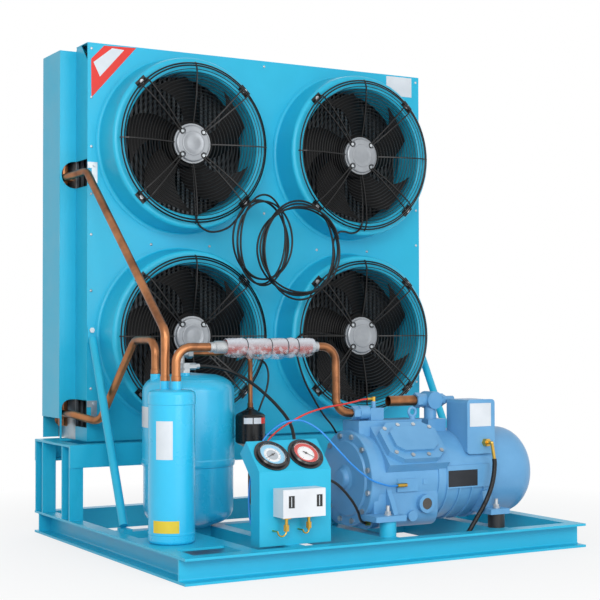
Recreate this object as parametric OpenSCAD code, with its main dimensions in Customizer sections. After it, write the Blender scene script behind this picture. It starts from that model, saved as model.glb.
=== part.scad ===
// Air-cooled condensing unit: a condenser with four fans on a stand, and a compressor, two
// vessels, a drier and a gauge console on a welded channel base.
// X runs left to right, Y front to back and Z up. The pieces are placed from the front left
// corner of the base, and the whole is moved so that its box is centred over the origin.

/* [Base frame] */
// Length of the front, middle and back rails
rail_length = 1195; // [1180:5:1300]
// Depth of the base, over the flanges
base_depth = 1036; // [1020:2:1060]
// Height of the channel section
channel_h = 63; // [56:1:70]
// Width of the channel flange
channel_flange = 40; // [34:1:44]
// Thickness of the channel web
channel_web = 4.8; // [4:0.2:6]
// Thickness of the channel flange
flange_t = 6; // [5:0.5:7]
// Front edge to the web of the middle rail
mid_rail_y = 480; // [470:2:490]
// Left edge to the web of the separator's cross member
separator_member_x = 170; // [160:2:190]
// Left edge to the web of the console's cross member
console_member_x = 300; // [290:2:320]

/* [Stand] */
// Rise of the stand above the base
stand_rise = 208.7; // [180:0.1:240]
// Front edge of the base to the stand's front beam
stand_front_y = 744.5; // [730:0.5:760]

/* [Condenser] */
// Left edge of the base to the left edge of the fan panel
panel_x = 92.4; // [88:0.2:96]
// Width of the fan panel
panel_w = 1151.6; // [1146:0.2:1180]
// Front edge of the base to the fan panel
panel_y = 858.4; // [840:0.2:870]
// Height of the condenser
condenser_h = 1146.7; // [1142:0.1:1180]
// Depth of the shroud between the panel and the coil
shroud_depth = 91; // [80:1:110]
// Depth of the coil section
coil_depth = 145; // [135:1:160]
// Sheet metal thickness of the casing
sheet_t = 2; // [1.5:0.1:2.4]
// Width of the header cover
cover_w = 50; // [46:1:56]
// Number of fins drawn in the coil
fin_count = 72; // [40:1:90]

/* [Fans] */
// Panel edge to the centre of the left fans
fan_left = 292.6; // [290:0.2:296]
// Distance between the left and right fans
fan_pitch_x = 582; // [566:1:584]
// Panel bottom to the centre of the lower fans
fan_low = 300.3; // [290:0.1:304]
// Distance between the lower and upper fans
fan_pitch_z = 563; // [556:1:568]
// Outer radius of the collar on the panel
collar_r = 268; // [266:1:272]
// Height of the collar in front of the panel
collar_h = 92; // [88:1:96]
// Radius of the air duct in the collar
duct_r = 210; // [206:1:214]
// Radius of the impeller
impeller_r = 200; // [190:1:203]
// Number of blades
blade_count = 5; // [3:1:7]
// Pitch of the blades from the plane of rotation
blade_pitch = 24; // [18:1:27]
// Outer radius of the wire guard
guard_r = 232; // [228:1:236]
// Height of the guard in front of the panel
guard_h = 118; // [116:1:126]
// Number of rings in the guard
guard_rings = 17; // [8:1:20]
// Radius of the silver motor cap
cap_r = 58.5; // [56:0.5:60]

/* [Compressor] */
// Left edge of the base to the flange of the bearing cover
comp_x = 560; // [556:1:566]
// Front edge of the base to the compressor's axis
comp_y = 212; // [206:1:218]
// Floor to the compressor's axis
comp_z = 200; // [198:1:204]
// Radius of the motor housing
housing_r = 120; // [117:1:121]
// Radius of the bearing cover's flange
cover_flange_r = 125; // [123:1:127]
// Length of the crankcase, over its flange
crankcase_len = 216; // [212:1:220]
// Length of the motor housing
housing_len = 264; // [258:1:272]
// Length of a cylinder head
head_len = 175; // [168:1:178]
// Width of a cylinder head
head_w = 125; // [118:1:128]

/* [Vessels] */
// Radius of the oil separator
separator_r = 58; // [54:1:60]
// Height of the oil separator
separator_h = 378; // [370:1:386]
// Radius of the receiver
receiver_r = 124; // [118:1:128]
// Height of the receiver
receiver_h = 412; // [408:1:416]
// Radius of the filter drier
drier_r = 40; // [36:1:44]
// Length of the filter drier
drier_h = 113; // [105:1:118]

/* [Pipes] */
// Radius of the gas pipes
gas_pipe_r = 11; // [10:0.5:11.5]
// Radius of the liquid line
liquid_pipe_r = 6.35; // [5:0.05:8]
// Radius of the suction stub
suction_pipe_r = 14; // [12:0.5:15]
// Bend radius of the gas pipes
pipe_bend = 40; // [30:1:42]

/* [Console] */
// Width of the gauge console
console_w = 201; // [196:1:210]
// Height of the console's front plate
console_front_h = 180; // [172:1:190]
// Length of the console's slanted plate
console_slant = 99; // [97:1:106]
// Radius of a gauge flange
gauge_r = 47; // [44:0.5:47]

/* [Hidden] */
$fn = 48;

// Derived sizes of the frame and the casing
base_top = channel_h;
stand_top = base_top + stand_rise;
brace_r = 11.5;
brace_side = 3.6;
overall_w = panel_x + panel_w + brace_side + 2 * brace_r;
overall_d = max(base_depth, panel_y + shroud_depth + coil_depth);
overall_h = stand_top + condenser_h;
panel_right = panel_x + panel_w;
coil_y = panel_y + shroud_depth;
coil_back = coil_y + coil_depth;
cut = 1;
root_r = 5;
root_steps = 4;
fan_x = [panel_x + fan_left, panel_x + fan_left + fan_pitch_x];
fan_z = [stand_top + fan_low, stand_top + fan_low + fan_pitch_z];
// Fans 1 and 2 are the upper pair, 3 and 4 the lower pair, each from the left
fan_places = [[fan_x[0], fan_z[1]], [fan_x[1], fan_z[1]], [fan_x[0], fan_z[0]], [fan_x[1], fan_z[0]]];
right_angle = 90;
half_turn = 180;
eighth_turn = 45;

// Points along an arc
function arc(c, r, from, to, steps) =
    [for (i = [0:steps]) let (a = from + (to - from) * i / steps) [c[0] + r * cos(a), c[1] + r * sin(a)]];
function unit(v) = v / norm(v);
function reversed(list) = [for (i = [len(list) - 1:-1:0]) list[i]];
// A line of points moved sideways by a distance, to give a sheet its other face
function side_step(path, d) = [for (i = [0:len(path) - 1])
    let (a = path[max(i - 1, 0)], b = path[min(i + 1, len(path) - 1)], t = unit(b - a))
    path[i] + d * [-t[1], t[0]]];

module placed() translate([-overall_w / 2, -overall_d / 2, 0]) children();
module along_x(length) rotate([right_angle, 0, right_angle]) linear_extrude(length) children();
module along_y(length) translate([0, length, 0]) rotate([right_angle, 0, 0]) linear_extrude(length) children();
// Turns a piece that stands on Z so that it runs from a to b
module toward(a, b) {
    d = b - a;
    translate(a) rotate([0, acos(d[2] / norm(d)), atan2(d[1], d[0])]) children();
}
module rod(a, b, r) toward(a, b) cylinder(h = norm(b - a), r = r);
// The centre line of a bent pipe: straight from corner to corner, with one bend radius at each
bend_steps = 6;
function bend_points(p, u, v, bend) =
    let (turn = acos(u * v), centre = p + unit(v - u) * bend / cos(turn / 2),
        x = (p - u * bend * tan(turn / 2) - centre))
    [for (i = [0:bend_steps]) let (a = turn * i / bend_steps) centre + x * cos(a) + u * bend * sin(a)];
function pipe_path(p, bend) = let (last = len(p) - 1)
    concat([p[0]], [for (i = [1:last - 1]) let (u = unit(p[i] - p[i - 1]), v = unit(p[i + 1] - p[i]))
        each bend_points(p[i], u, v, bend)], [p[last]]);
module pipe_run(points, r, bend) swept_tube(pipe_path(points, bend), r, pipe_sides, pipe_first);
pipe_sides = 16;
pipe_first = [0.6, 0.64, 0.48];
// A flexible cord: one polyhedron swept along a smooth curve through hand-chosen points
function tangents(p) = [for (i = [0:len(p) - 1]) unit(p[min(i + 1, len(p) - 1)] - p[max(i - 1, 0)])];
// Each ring's first direction is carried over from the ring before, so that the tube never twists
function carried(t, i, n) = i >= len(t) ? [] :
    let (m = unit(n - t[i] * (n * t[i]))) concat([m], carried(t, i + 1, m));
module swept_tube(path, r, sides, first) {
    t = tangents(path);
    n = carried(t, 0, first);
    rings = len(path);
    points = [for (i = [0:rings - 1], k = [0:sides - 1])
        let (a = 360 * k / sides) path[i] + r * (n[i] * cos(a) + cross(t[i], n[i]) * sin(a))];
    walls = [for (i = [0:rings - 2], k = [0:sides - 1], half = [0, 1])
        let (q = (k + 1) % sides, a = i * sides, b = a + sides)
        half == 0 ? [a + k, b + k, b + q] : [a + k, b + q, a + q]];
    caps = [for (k = [1:sides - 2], side = [0, 1]) let (e = (rings - 1) * sides)
        side == 0 ? [0, k, k + 1] : [e, e + k + 1, e + k]];
    polyhedron(points = points, faces = concat(walls, caps));
}

// Channel section: the web stands at x = 0 and the flanges point to +x
module channel() polygon(concat([[0, 0], [channel_flange, 0], [channel_flange, flange_t]],
    arc([channel_web + root_r, flange_t + root_r], root_r, 270, half_turn, root_steps),
    arc([channel_web + root_r, channel_h - flange_t - root_r], root_r, half_turn, right_angle, root_steps),
    [[channel_flange, channel_h - flange_t], [channel_flange, channel_h], [0, channel_h]]));
module channel_back() translate([channel_flange, 0]) mirror([1, 0]) channel();

paint = "#45bfe6";
compressor_paint = "#7ba6d6";
copper = "#b5703f";
black = "#16181b";
steel = "#c9cdd1";
brass = "#c9a34e";

// Compressor members stand under the middle of its feet
foot_left_at = 40;
foot_right_at = 385;
foot_left_x = comp_x + foot_left_at;
foot_right_x = comp_x + foot_right_at;
foot_reach = 142;
member_edge = 25;
member_foot = 20;

module long_rails() color(paint) placed() {
    along_x(rail_length) channel_back();
    translate([channel_flange, mid_rail_y, 0]) along_x(rail_length - 2 * channel_flange) channel();
    translate([0, base_depth - channel_flange, 0]) along_x(rail_length) channel();
}
module side_rails() color(paint) placed() {
    run = base_depth - 2 * channel_flange;
    translate([0, channel_flange, 0]) along_y(run) channel_back();
    translate([rail_length, channel_flange, 0]) mirror([1, 0, 0]) along_y(run) channel_back();
}
plate_y = 140;
plate_len = 220;
module cross_members() color(paint) placed() {
    run = mid_rail_y - channel_flange;
    for (x = [separator_member_x, console_member_x, foot_left_x - member_edge, foot_right_x - member_foot])
        translate([x, channel_flange, 0]) along_y(run) channel();
    translate([channel_flange, plate_y, base_top - flange_t])
        cube([separator_member_x - channel_flange - cut / 2, plate_len, flange_t]);
}

post_h = stand_rise - flange_t;
back_post_y = base_depth - channel_web - channel_h;
module post() linear_extrude(post_h) translate([channel_flange, 0]) mirror([1, 0])
    polygon([[0, 0], [channel_flange, 0], [channel_flange, flange_t], [channel_web, flange_t],
        [channel_web, channel_h - flange_t], [channel_flange, channel_h - flange_t],
        [channel_flange, channel_h], [0, channel_h]]);
module stand_posts() color(paint) placed() for (y = [stand_front_y + channel_web, back_post_y]) {
    translate([0, y, base_top]) post();
    translate([rail_length, y, base_top]) mirror([1, 0, 0]) post();
}
module beam() difference() {
    along_x(rail_length) channel();
    for (x = [-cut, rail_length - channel_flange])
        translate([x, channel_web, -cut]) cube([channel_flange + cut, channel_flange, flange_t + root_r + cut]);
    for (x = [-cut, rail_length - channel_flange])
        translate([x, channel_web, 0]) cube([channel_flange + cut, root_r + cut, channel_h - flange_t]);
}
beam_z = stand_top - channel_h;
module stand_beams() color(paint) placed() {
    translate([0, stand_front_y, beam_z]) beam();
    translate([0, base_depth, beam_z]) mirror([0, 1, 0]) beam();
}
module stand_side_ties() color(paint) placed() {
    from = stand_front_y + channel_flange;
    for (x = [0, rail_length - channel_flange])
        translate([x, from, stand_top - flange_t])
            cube([channel_flange, base_depth - channel_flange - from, flange_t]);
}

brace_w = 24;
brace_edge = 12.4;
brace_side_y = 16.6;
brace_tab = 46;
brace_top_z = [294, 250];
brace_up = 24;
brace_foot_x = [62, rail_length - 15];
brace_foot_y = [0.8, 0.55];
// The left brace is bolted to the panel's front and the right one to the shroud's side
brace_top = [[panel_x + brace_edge, panel_y - brace_r - 1.2 * cut, stand_top + brace_top_z[0]],
    [panel_right + brace_r + brace_side, panel_y + brace_side_y, stand_top + brace_top_z[1]]];
module panel_braces() color(paint) placed() {
    for (i = [0, 1]) {
        rod([brace_foot_x[i], mid_rail_y + brace_foot_y[i] * channel_flange, base_top + brace_r], brace_top[i], brace_r);
        translate([brace_foot_x[i] - brace_w / 2, mid_rail_y, base_top]) cube([brace_w, brace_tab, flange_t]);
    }
    translate([brace_top[0][0] - brace_w / 2, panel_y - flange_t, brace_top[0][2] - brace_r])
        cube([brace_w, flange_t, brace_tab]);
    translate([panel_right, brace_top[1][1] - brace_w / 2, brace_top[1][2] - brace_r])
        cube([flange_t, brace_w, brace_tab]);
}

// The collar is one pressing: a foot on the panel, a steep outer wall, a flat lip and the duct
collar_t = 1.6;
collar_foot_r = 8;
collar_foot_w = 4;
collar_crown_r = 10;
collar_lip_r = 240;
duct_lip_r = 8;
duct_back = 20;
collar_steps = 5;
collar_lean = 8;
function collar_path() =
    let (foot = collar_r - collar_foot_w, mid = collar_t / 2, crown = collar_h - mid)
    concat([[collar_r, mid]],
        arc([foot, mid + collar_foot_r], collar_foot_r, 270, half_turn + collar_lean, collar_steps),
        arc([collar_lip_r, crown - collar_crown_r], collar_crown_r, collar_lean, right_angle, collar_steps),
        arc([duct_r + mid + duct_lip_r, crown - duct_lip_r], duct_lip_r, right_angle, half_turn, collar_steps),
        [[duct_r + mid, -duct_back]]);
module at_fan(i) translate([fan_places[i][0], panel_y, fan_places[i][1]]) rotate([right_angle, 0, 0]) children();
module collar() {
    path = collar_path();
    rotate_extrude($fn = 96)
        polygon(concat(side_step(path, collar_t / 2), reversed(side_step(path, -collar_t / 2))));
}
module fan_collars() color(paint) placed() for (i = [0:3]) at_fan(i) collar();

module fan_panel() color(paint) placed() difference() {
    translate([panel_x, panel_y, stand_top]) cube([panel_w, sheet_t, condenser_h]);
    for (i = [0:3]) at_fan(i) translate([0, 0, -sheet_t - cut])
        cylinder(h = sheet_t + 2 * cut, r = collar_r - collar_foot_w - sheet_t, $fn = 96);
}

// The hot gas pipe leaves by the upper slot and the liquid pipe by the lower one
slot_h = 78;
upper_slot_z = 771.3;
lower_slot_z = 78;
wall_gap = 0.4;
corner_cut = 50;
shroud_lip = 12.4;
module shroud_walls() color(paint) placed() {
    from = panel_y + sheet_t;
    depth = coil_y - from;
    low = stand_top + sheet_t + wall_gap;
    high = overall_h - sheet_t - wall_gap;
    difference() {
        translate([panel_x, 0, 0]) along_x(sheet_t)
            polygon([[from, low], [coil_y, low], [coil_y, high - shroud_lip], [coil_y - 2 * sheet_t, high],
                [from + corner_cut, high], [from, high - corner_cut]]);
        for (z = [upper_slot_z, lower_slot_z])
            translate([panel_x - cut, from - cut, stand_top + z - slot_h / 2])
                cube([sheet_t + 2 * cut, depth + 2 * cut, slot_h]);
    }
    translate([panel_right - sheet_t, from, low]) cube([sheet_t, depth, high - low - shroud_lip]);
    translate([panel_x, from, stand_top]) cube([panel_w, depth, sheet_t]);
    translate([panel_x, from, overall_h - sheet_t]) cube([panel_w, depth, sheet_t]);
    translate([panel_x + 2 * sheet_t, coil_y - sheet_t, overall_h - shroud_lip])
        cube([panel_w - 4 * sheet_t, sheet_t, shroud_lip - sheet_t]);
}
divider_t = 1.5;
module shroud_dividers() color(paint) placed() {
    x = panel_x + fan_left + fan_pitch_x / 2;
    z = stand_top + fan_low + fan_pitch_z / 2;
    from = panel_y + sheet_t;
    depth = coil_y - sheet_t - from;
    low = stand_top + sheet_t;
    translate([x - divider_t / 2, from, low]) cube([divider_t, depth, condenser_h - 2 * sheet_t]);
    left = panel_x + sheet_t;
    translate([left, from, z]) cube([x - divider_t - left, depth, divider_t]);
    translate([x + divider_t, from, z]) cube([panel_right - sheet_t - x - divider_t, depth, divider_t]);
}

// The coil: aluminium fins between two tube sheets, drawn with fewer and thicker fins
coil_top = overall_h - shroud_lip;
tube_sheet_right = panel_right - 40;
fin_core = 0.72;
casing_rim = 13;
module fin_coil() color("#b9c0c4") placed() {
    left = panel_x + sheet_t;
    width = tube_sheet_right - left;
    pitch = width / fin_count;
    depth = coil_depth - 2 * sheet_t;
    root = depth * (1 - fin_core) / 2;
    back = [for (i = [0:fin_count - 1], k = [0:3]) let (x = i * pitch)
        [x + (k < 2 ? 0 : pitch / 2), (k == 0 || k == 3) ? root : 0]];
    front = [for (p = reversed(back)) [p[0], depth - p[1]]];
    translate([left, coil_y + sheet_t, stand_top + casing_rim])
        linear_extrude(coil_top - stand_top - 2 * casing_rim)
            polygon(concat(back, [[width, root], [width, depth - root]], front));
}
module coil_end_plates() color("#b7bcc0") placed() {
    h = coil_top - stand_top;
    for (x = [panel_x, tube_sheet_right]) translate([x, coil_y, stand_top]) cube([sheet_t, coil_depth, h]);
    left = panel_x + sheet_t;
    width = tube_sheet_right - left;
    for (side = [0, 1]) translate([left, coil_y, side == 0 ? stand_top : coil_top - casing_rim])
        difference() {
            cube([width, coil_depth, casing_rim]);
            translate([-cut, sheet_t, side == 0 ? sheet_t : -cut])
                cube([width + 2 * cut, coil_depth - 2 * sheet_t, casing_rim - sheet_t + cut]);
        }
}

// Return bends and the two upright headers behind the left cover
tube_r = 5;
tube_pitch = 25.4;
header_r = 14;
header_x = panel_x - 25.4;
header_y = coil_y + 36;
bend_rows = 20;
bend_columns = [coil_y + 75, coil_y + 100, coil_y + 125];
first_bend_z = stand_top + 52;
upper_header = [430, 1080];
lower_header = [40, 390];
feed_pitch = 60;
module return_bend(out) rotate([right_angle, 0, 0]) rotate([0, 0, out])
    rotate_extrude(angle = half_turn, $fn = 24) translate([tube_pitch / 2, 0]) circle(r = tube_r, $fn = 8);
module header_pipework() color(copper) placed() {
    for (y = bend_columns, i = [0:bend_rows - 1]) {
        z = first_bend_z + i * 2 * tube_pitch;
        translate([panel_x, y, z]) return_bend(right_angle);
        translate([tube_sheet_right + sheet_t, y, z]) return_bend(-right_angle);
    }
    for (span = [upper_header, lower_header]) {
        translate([header_x, header_y, stand_top + span[0]]) cylinder(h = span[1] - span[0], r = header_r);
        for (z = [span[0] + feed_pitch / 2:feed_pitch:span[1] - feed_pitch / 4])
            translate([header_x, header_y, stand_top + z]) rotate([0, right_angle, 0])
                cylinder(h = panel_x - header_x, r = tube_r);
    }
}
cover_t = 1.5;
cover_low = 63;
open_x = 8;
open_top = 117;
open_r = 25;
module header_covers() color(paint) placed() {
    x = panel_x - cover_w;
    h = coil_top - stand_top;
    difference() {
        translate([x, coil_y, stand_top]) cube([cover_w, coil_depth, h]);
        translate([x + cover_t, coil_y + cover_t, stand_top - cut])
            cube([cover_w, coil_depth - 2 * cover_t, h - cover_t + cut]);
        translate([x - cut, coil_y - cut, stand_top - cut])
            cube([cover_t + 2 * cut, coil_depth + 2 * cut, cover_low + cut]);
        translate([0, coil_y - cut, 0]) along_y(cover_t + 2 * cut) {
            translate([x + open_x - 2 * cut + slot_h / 2, stand_top + upper_slot_z]) circle(d = slot_h);
            translate([x + open_x - 2 * cut + slot_h / 2, stand_top + upper_slot_z - slot_h / 2])
                square([cover_w, slot_h]);
            polygon(concat([[panel_x + cut, stand_top - cut], [panel_x + cut, stand_top + open_top]],
                arc([x + open_x + open_r, stand_top + open_top - open_r], open_r, right_angle, half_turn, root_steps),
                [[x + open_x, stand_top - cut]]));
        }
    }
    right = tube_sheet_right + sheet_t;
    difference() {
        translate([right, coil_y, stand_top]) cube([panel_right - right, coil_depth, h]);
        translate([right - cut, coil_y + cover_t, stand_top - cut])
            cube([panel_right - right - cover_t + cut, coil_depth - 2 * cover_t, h - cover_t + cut]);
    }
}

// Routes of the rigid pipes
seat_gap = 0.3;
gas_start = [header_x - 5, header_y - header_r - seat_gap, stand_top + upper_slot_z - 7];
gas_out = [header_x - 5, coil_y - 6, stand_top + upper_slot_z - 7];
gas_corner = [panel_x - 11, panel_y - 22, stand_top + upper_slot_z];
separator_x = 82;
separator_y = 254;
separator_in = [separator_x - 8, separator_y + 22];
separator_out = [separator_x + 5, separator_y - 15];
fitting_h = 20;
fitting_r = 13;
separator_top = base_top + separator_h;
fitting_top = separator_top + fitting_h;
gas_down_z = 124;
gas_route = [gas_start, gas_out, gas_corner, [separator_in[0], separator_in[1], fitting_top + gas_down_z],
    [separator_in[0], separator_in[1], fitting_top]];
receiver_x = 248;
receiver_y = 510;
receiver_top = base_top + receiver_h;
inlet_x = receiver_x - 97;
inlet_top = receiver_top - 3;
arch_h = 90;
condensate_route = [[header_x - 4, header_y - header_r - seat_gap, stand_top + lower_slot_z - 2],
    [header_x - 4, panel_y + 26, stand_top + lower_slot_z - 2], [panel_x + 16, panel_y - 58, stand_top + 58],
    [inlet_x, receiver_y + 140, inlet_top + arch_h], [inlet_x, receiver_y, inlet_top + arch_h],
    [inlet_x, receiver_y, inlet_top]];
module hot_gas_pipe() color(copper) placed() pipe_run(gas_route, gas_pipe_r, pipe_bend);
module condensate_pipe() color(copper) placed() pipe_run(condensate_route, gas_pipe_r, pipe_bend);

bracket_w = 30;
bracket_h = 60;
clip_r = 2;
clip_w = 14;
clip_at = 0.62;
clip_gap = 0.2;
bolt_r = 5;
bolt_h = 4;
module pipe_brackets() color(steel) placed() {
    for (z = [upper_slot_z, lower_slot_z + 8]) {
        translate([panel_x, panel_y - sheet_t, stand_top + z - bracket_h / 2]) difference() {
            cube([bracket_w, sheet_t, bracket_h]);
            translate([-cut, -cut, bracket_h * 0.3]) cube([bracket_w * 0.45, sheet_t + 2 * cut, bracket_h * 0.4]);
        }
        for (side = [-1, 1])
            translate([panel_x + bracket_w * 0.7, panel_y - sheet_t, stand_top + z + side * bracket_h * 0.35])
                rotate([right_angle, 0, 0]) cylinder(h = bolt_h, r = bolt_r, $fn = 6);
    }
}

// Wire guard: rings welded behind twelve radial wires, in a shallow dish
hub_ring_r = 62;
guard_foot_h = 86.4;
crown_r = 214;
guard_drop = 8;
wire = 3.4;
rim_wire = 4.6;
ring_wire = 2.4;
pair_angle = 3.4;
wire_steps = 9;
eyelet_r = 8;
eyelet_at = 48;
eyelet_t = 2.4;
ear_at = 234;
ear_w = 36;
ear_d = 20;
ear_t = 3;
function dish(r) = r < crown_r
    ? guard_h - wire / 2 - (guard_h - guard_foot_h) * pow(1 - (r - eyelet_at) / (crown_r - eyelet_at), 2)
    : guard_h - wire / 2 - guard_drop * pow((r - crown_r) / (guard_r - crown_r), 2);
module radial_wire(angle, ear) rotate([0, 0, angle]) rotate([right_angle, 0, 0])
    translate([0, 0, -wire / 2]) linear_extrude(wire) {
        from = ear ? eyelet_at + bolt_r + cut : hub_ring_r - ring_wire;
        line = [for (i = [0:wire_steps]) let (r = from + (guard_r - from) * i / wire_steps) [r, dish(r)]];
        drop = ear ? [[ear_at + wire / 2, collar_h + ear_t / 2]] : [[guard_r + wire, dish(guard_r) - 1.5 * wire]];
        path = concat(line, drop);
        polygon(concat(side_step(path, wire / 2), reversed(side_step(path, -wire / 2))));
    }
module diamond_ring(r, h, size) rotate_extrude($fn = 72) translate([r, h])
    polygon([[size / 2, 0], [0, size / 2], [-size / 2, 0], [0, -size / 2]]);
module guard() {
    for (quarter = [0:3]) {
        radial_wire(quarter * right_angle, false);
        for (side = [-1, 1]) radial_wire(quarter * right_angle + eighth_turn + side * pair_angle, true);
        rotate([0, 0, quarter * right_angle + eighth_turn]) {
            translate([eyelet_at, 0, guard_foot_h - eyelet_t]) cylinder(h = eyelet_t, r = eyelet_r, $fn = 24);
            translate([ear_at - ear_d / 2, -ear_w / 2, collar_h]) cube([ear_d, ear_w, ear_t]);
        }
    }
    for (i = [0:guard_rings - 1]) {
        r = hub_ring_r + (guard_r - 2 * rim_wire - hub_ring_r) * i / guard_rings;
        diamond_ring(r, dish(r) - wire / 2, ring_wire);
    }
    for (r = [guard_r - 1.6 * rim_wire, guard_r]) diamond_ring(r, dish(r) - wire / 2, rim_wire);
}
module fan_guard_1() color(black) placed() at_fan(0) guard();
module fan_guard_2() color(black) placed() at_fan(1) guard();
module fan_guard_3() color(black) placed() at_fan(2) guard();
module fan_guard_4() color(black) placed() at_fan(3) guard();

// External rotor motor: the silver flange and stator stand still, the rotor cup turns
cap_top = 92;
cap_rise = 8;
cap_edge = 5;
flange_h = 84;
stator_flange_t = 8;
stator_r = 47;
stator_back = 26;
shaft_r = 7;
shaft_clearance = 0.05;
notch_r = 10;
rotor_r = 68;
rotor_back = 10;
rotor_front = 72;
rotor_wall = 10;
cavity_r = 50;
shaft_front = 66;
module motor() difference() {
    union() {
        translate([0, 0, flange_h - stator_flange_t]) cylinder(h = stator_flange_t, r = cap_r, $fn = 64);
        translate([0, 0, stator_back]) cylinder(h = flange_h - stator_flange_t - stator_back, r = stator_r);
        difference() {
            rotate_extrude($fn = 64) polygon(concat([[0, flange_h - cut], [cap_r - cap_edge, flange_h - cut]],
                arc([cap_r - 2 * cap_edge, cap_top - cap_edge], cap_edge, 0, right_angle, root_steps),
                [[0, cap_top]]));
            for (a = [eighth_turn:right_angle:360]) rotate([0, 0, a]) translate([eyelet_at, 0, flange_h])
                cylinder(h = cap_rise + cut, r = notch_r);
        }
    }
    translate([0, 0, stator_back - cut])
        cylinder(h = shaft_front + bolt_h - stator_back, r = shaft_r + shaft_clearance);
}
module fan_motors() color(steel) placed() for (i = [0:3]) at_fan(i) motor();

// Each blade is a slice of a wide cylinder wall, cut to a sickle outline
blade_root_r = 60;
blade_t = 2.2;
blade_camber_r = 260;
blade_mid_h = 44;
blade_steps = 7;
blade_sweep = 38;
blade_root_chord = 62;
blade_tip_chord = 132;
blade_lean_share = 0.45;
function blade_edge(side) = [for (i = [0:blade_steps]) let (s = i / blade_steps,
        r = blade_root_r + (impeller_r + sheet_t - blade_root_r) * s,
        chord = blade_root_chord + (blade_tip_chord - blade_root_chord) * s,
        a = blade_sweep * pow(s, 1.5) + side * chord / 2 / r * half_turn / PI)
    [r * cos(a), r * sin(a)]];
module blade() intersection() {
    linear_extrude(rotor_front + rotor_back) polygon(concat(blade_edge(-1), reversed(blade_edge(1))));
    cylinder(h = rotor_front + rotor_back, r = impeller_r, $fn = 96);
    translate([0, 0, blade_mid_h]) rotate([0, 0, blade_sweep * blade_lean_share]) rotate([blade_pitch, 0, 0])
        translate([0, 0, -blade_camber_r]) rotate([0, right_angle, 0]) difference() {
            cylinder(h = impeller_r + cut, r = blade_camber_r + blade_t / 2, $fn = 160);
            translate([0, 0, -cut]) cylinder(h = impeller_r + 3 * cut, r = blade_camber_r - blade_t / 2, $fn = 160);
        }
}
module impeller() {
    difference() {
        translate([0, 0, rotor_back]) cylinder(h = rotor_front - rotor_back, r = rotor_r, $fn = 64);
        translate([0, 0, rotor_back + rotor_wall]) cylinder(h = rotor_front - rotor_back, r = cavity_r);
    }
    translate([0, 0, rotor_back + rotor_wall - cut]) cylinder(h = shaft_front - rotor_back - rotor_wall + cut, r = shaft_r);
    for (i = [0:blade_count - 1]) rotate([0, 0, i * 360 / blade_count]) difference() {
        blade();
        cylinder(h = rotor_front + rotor_back, r = rotor_r - cut);
    }
}
module impeller_1() color(black) placed() at_fan(0) impeller();
module impeller_2() color(black) placed() at_fan(1) impeller();
module impeller_3() color(black) placed() at_fan(2) impeller();
module impeller_4() color(black) placed() at_fan(3) impeller();

// Compressor: pieces are drawn about the shaft's axis, which runs along X
module on_axis(x) translate([x, comp_y, comp_z]) rotate([right_angle, 0, right_angle]) children();
module mirrored_y() {
    children();
    translate([0, 2 * comp_y, 0]) mirror([0, 1, 0]) children();
}
cover_flange_t = 18;
crank_x = comp_x + cover_flange_t;
crank_end = comp_x + crankcase_len;
housing_end = crank_end + housing_len;
flange_ring_t = 12;
sump_half = 112;
sump_low = 125;
sump_r = 40;
deck_half = 40;
deck_h = 150;
bank_half = head_w / 2 + 4;
bank_h = 125;
bank_from = 34;
bank_over = 24;
foot_z = 103;
foot_t = 14;
foot_w = 91;
foot_d = 66;
foot_inner = 11;
stud_y = comp_y - foot_reach;
module foot_plate(x, w, z) {
    translate([x, stud_y - foot_d / 2 + foot_inner / 2, z]) difference() {
        cube([w, foot_d, foot_t]);
    }
}
module crankcase_profile() {
    circle(r = housing_r - 3);
    hull_low = -sump_low;
    translate([-sump_half, hull_low + sump_r]) square([2 * sump_half, sump_low - sump_r]);
    translate([-sump_half + sump_r, hull_low]) square([2 * (sump_half - sump_r), sump_r + cut]);
    for (side = [-1, 1]) translate([side * (sump_half - sump_r), hull_low + sump_r]) circle(r = sump_r);
    translate([-deck_half, 0]) square([2 * deck_half, deck_h]);
}
boss_y = 85;
wall_y = comp_y - sump_half;
module front_boss(x, z, r, from_y) translate([x, wall_y + cut, z]) rotate([right_angle, 0, 0])
    cylinder(h = wall_y + cut - from_y, r = r);
sight_at = [173, -64];
sight = [comp_x + sight_at[0], comp_z + sight_at[1]];
sight_r = 24;
glass_r = 15;
glass_t = 5;
valve_plate = [63, 33];
valve_plate_t = 7;
plate_at = [85, -30];
valve_plate_at = [comp_x + plate_at[0], comp_z + plate_at[1]];
drain_at = 133;
drain_up = 3;
lug_at = 166;
lug_half = 14;
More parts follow.
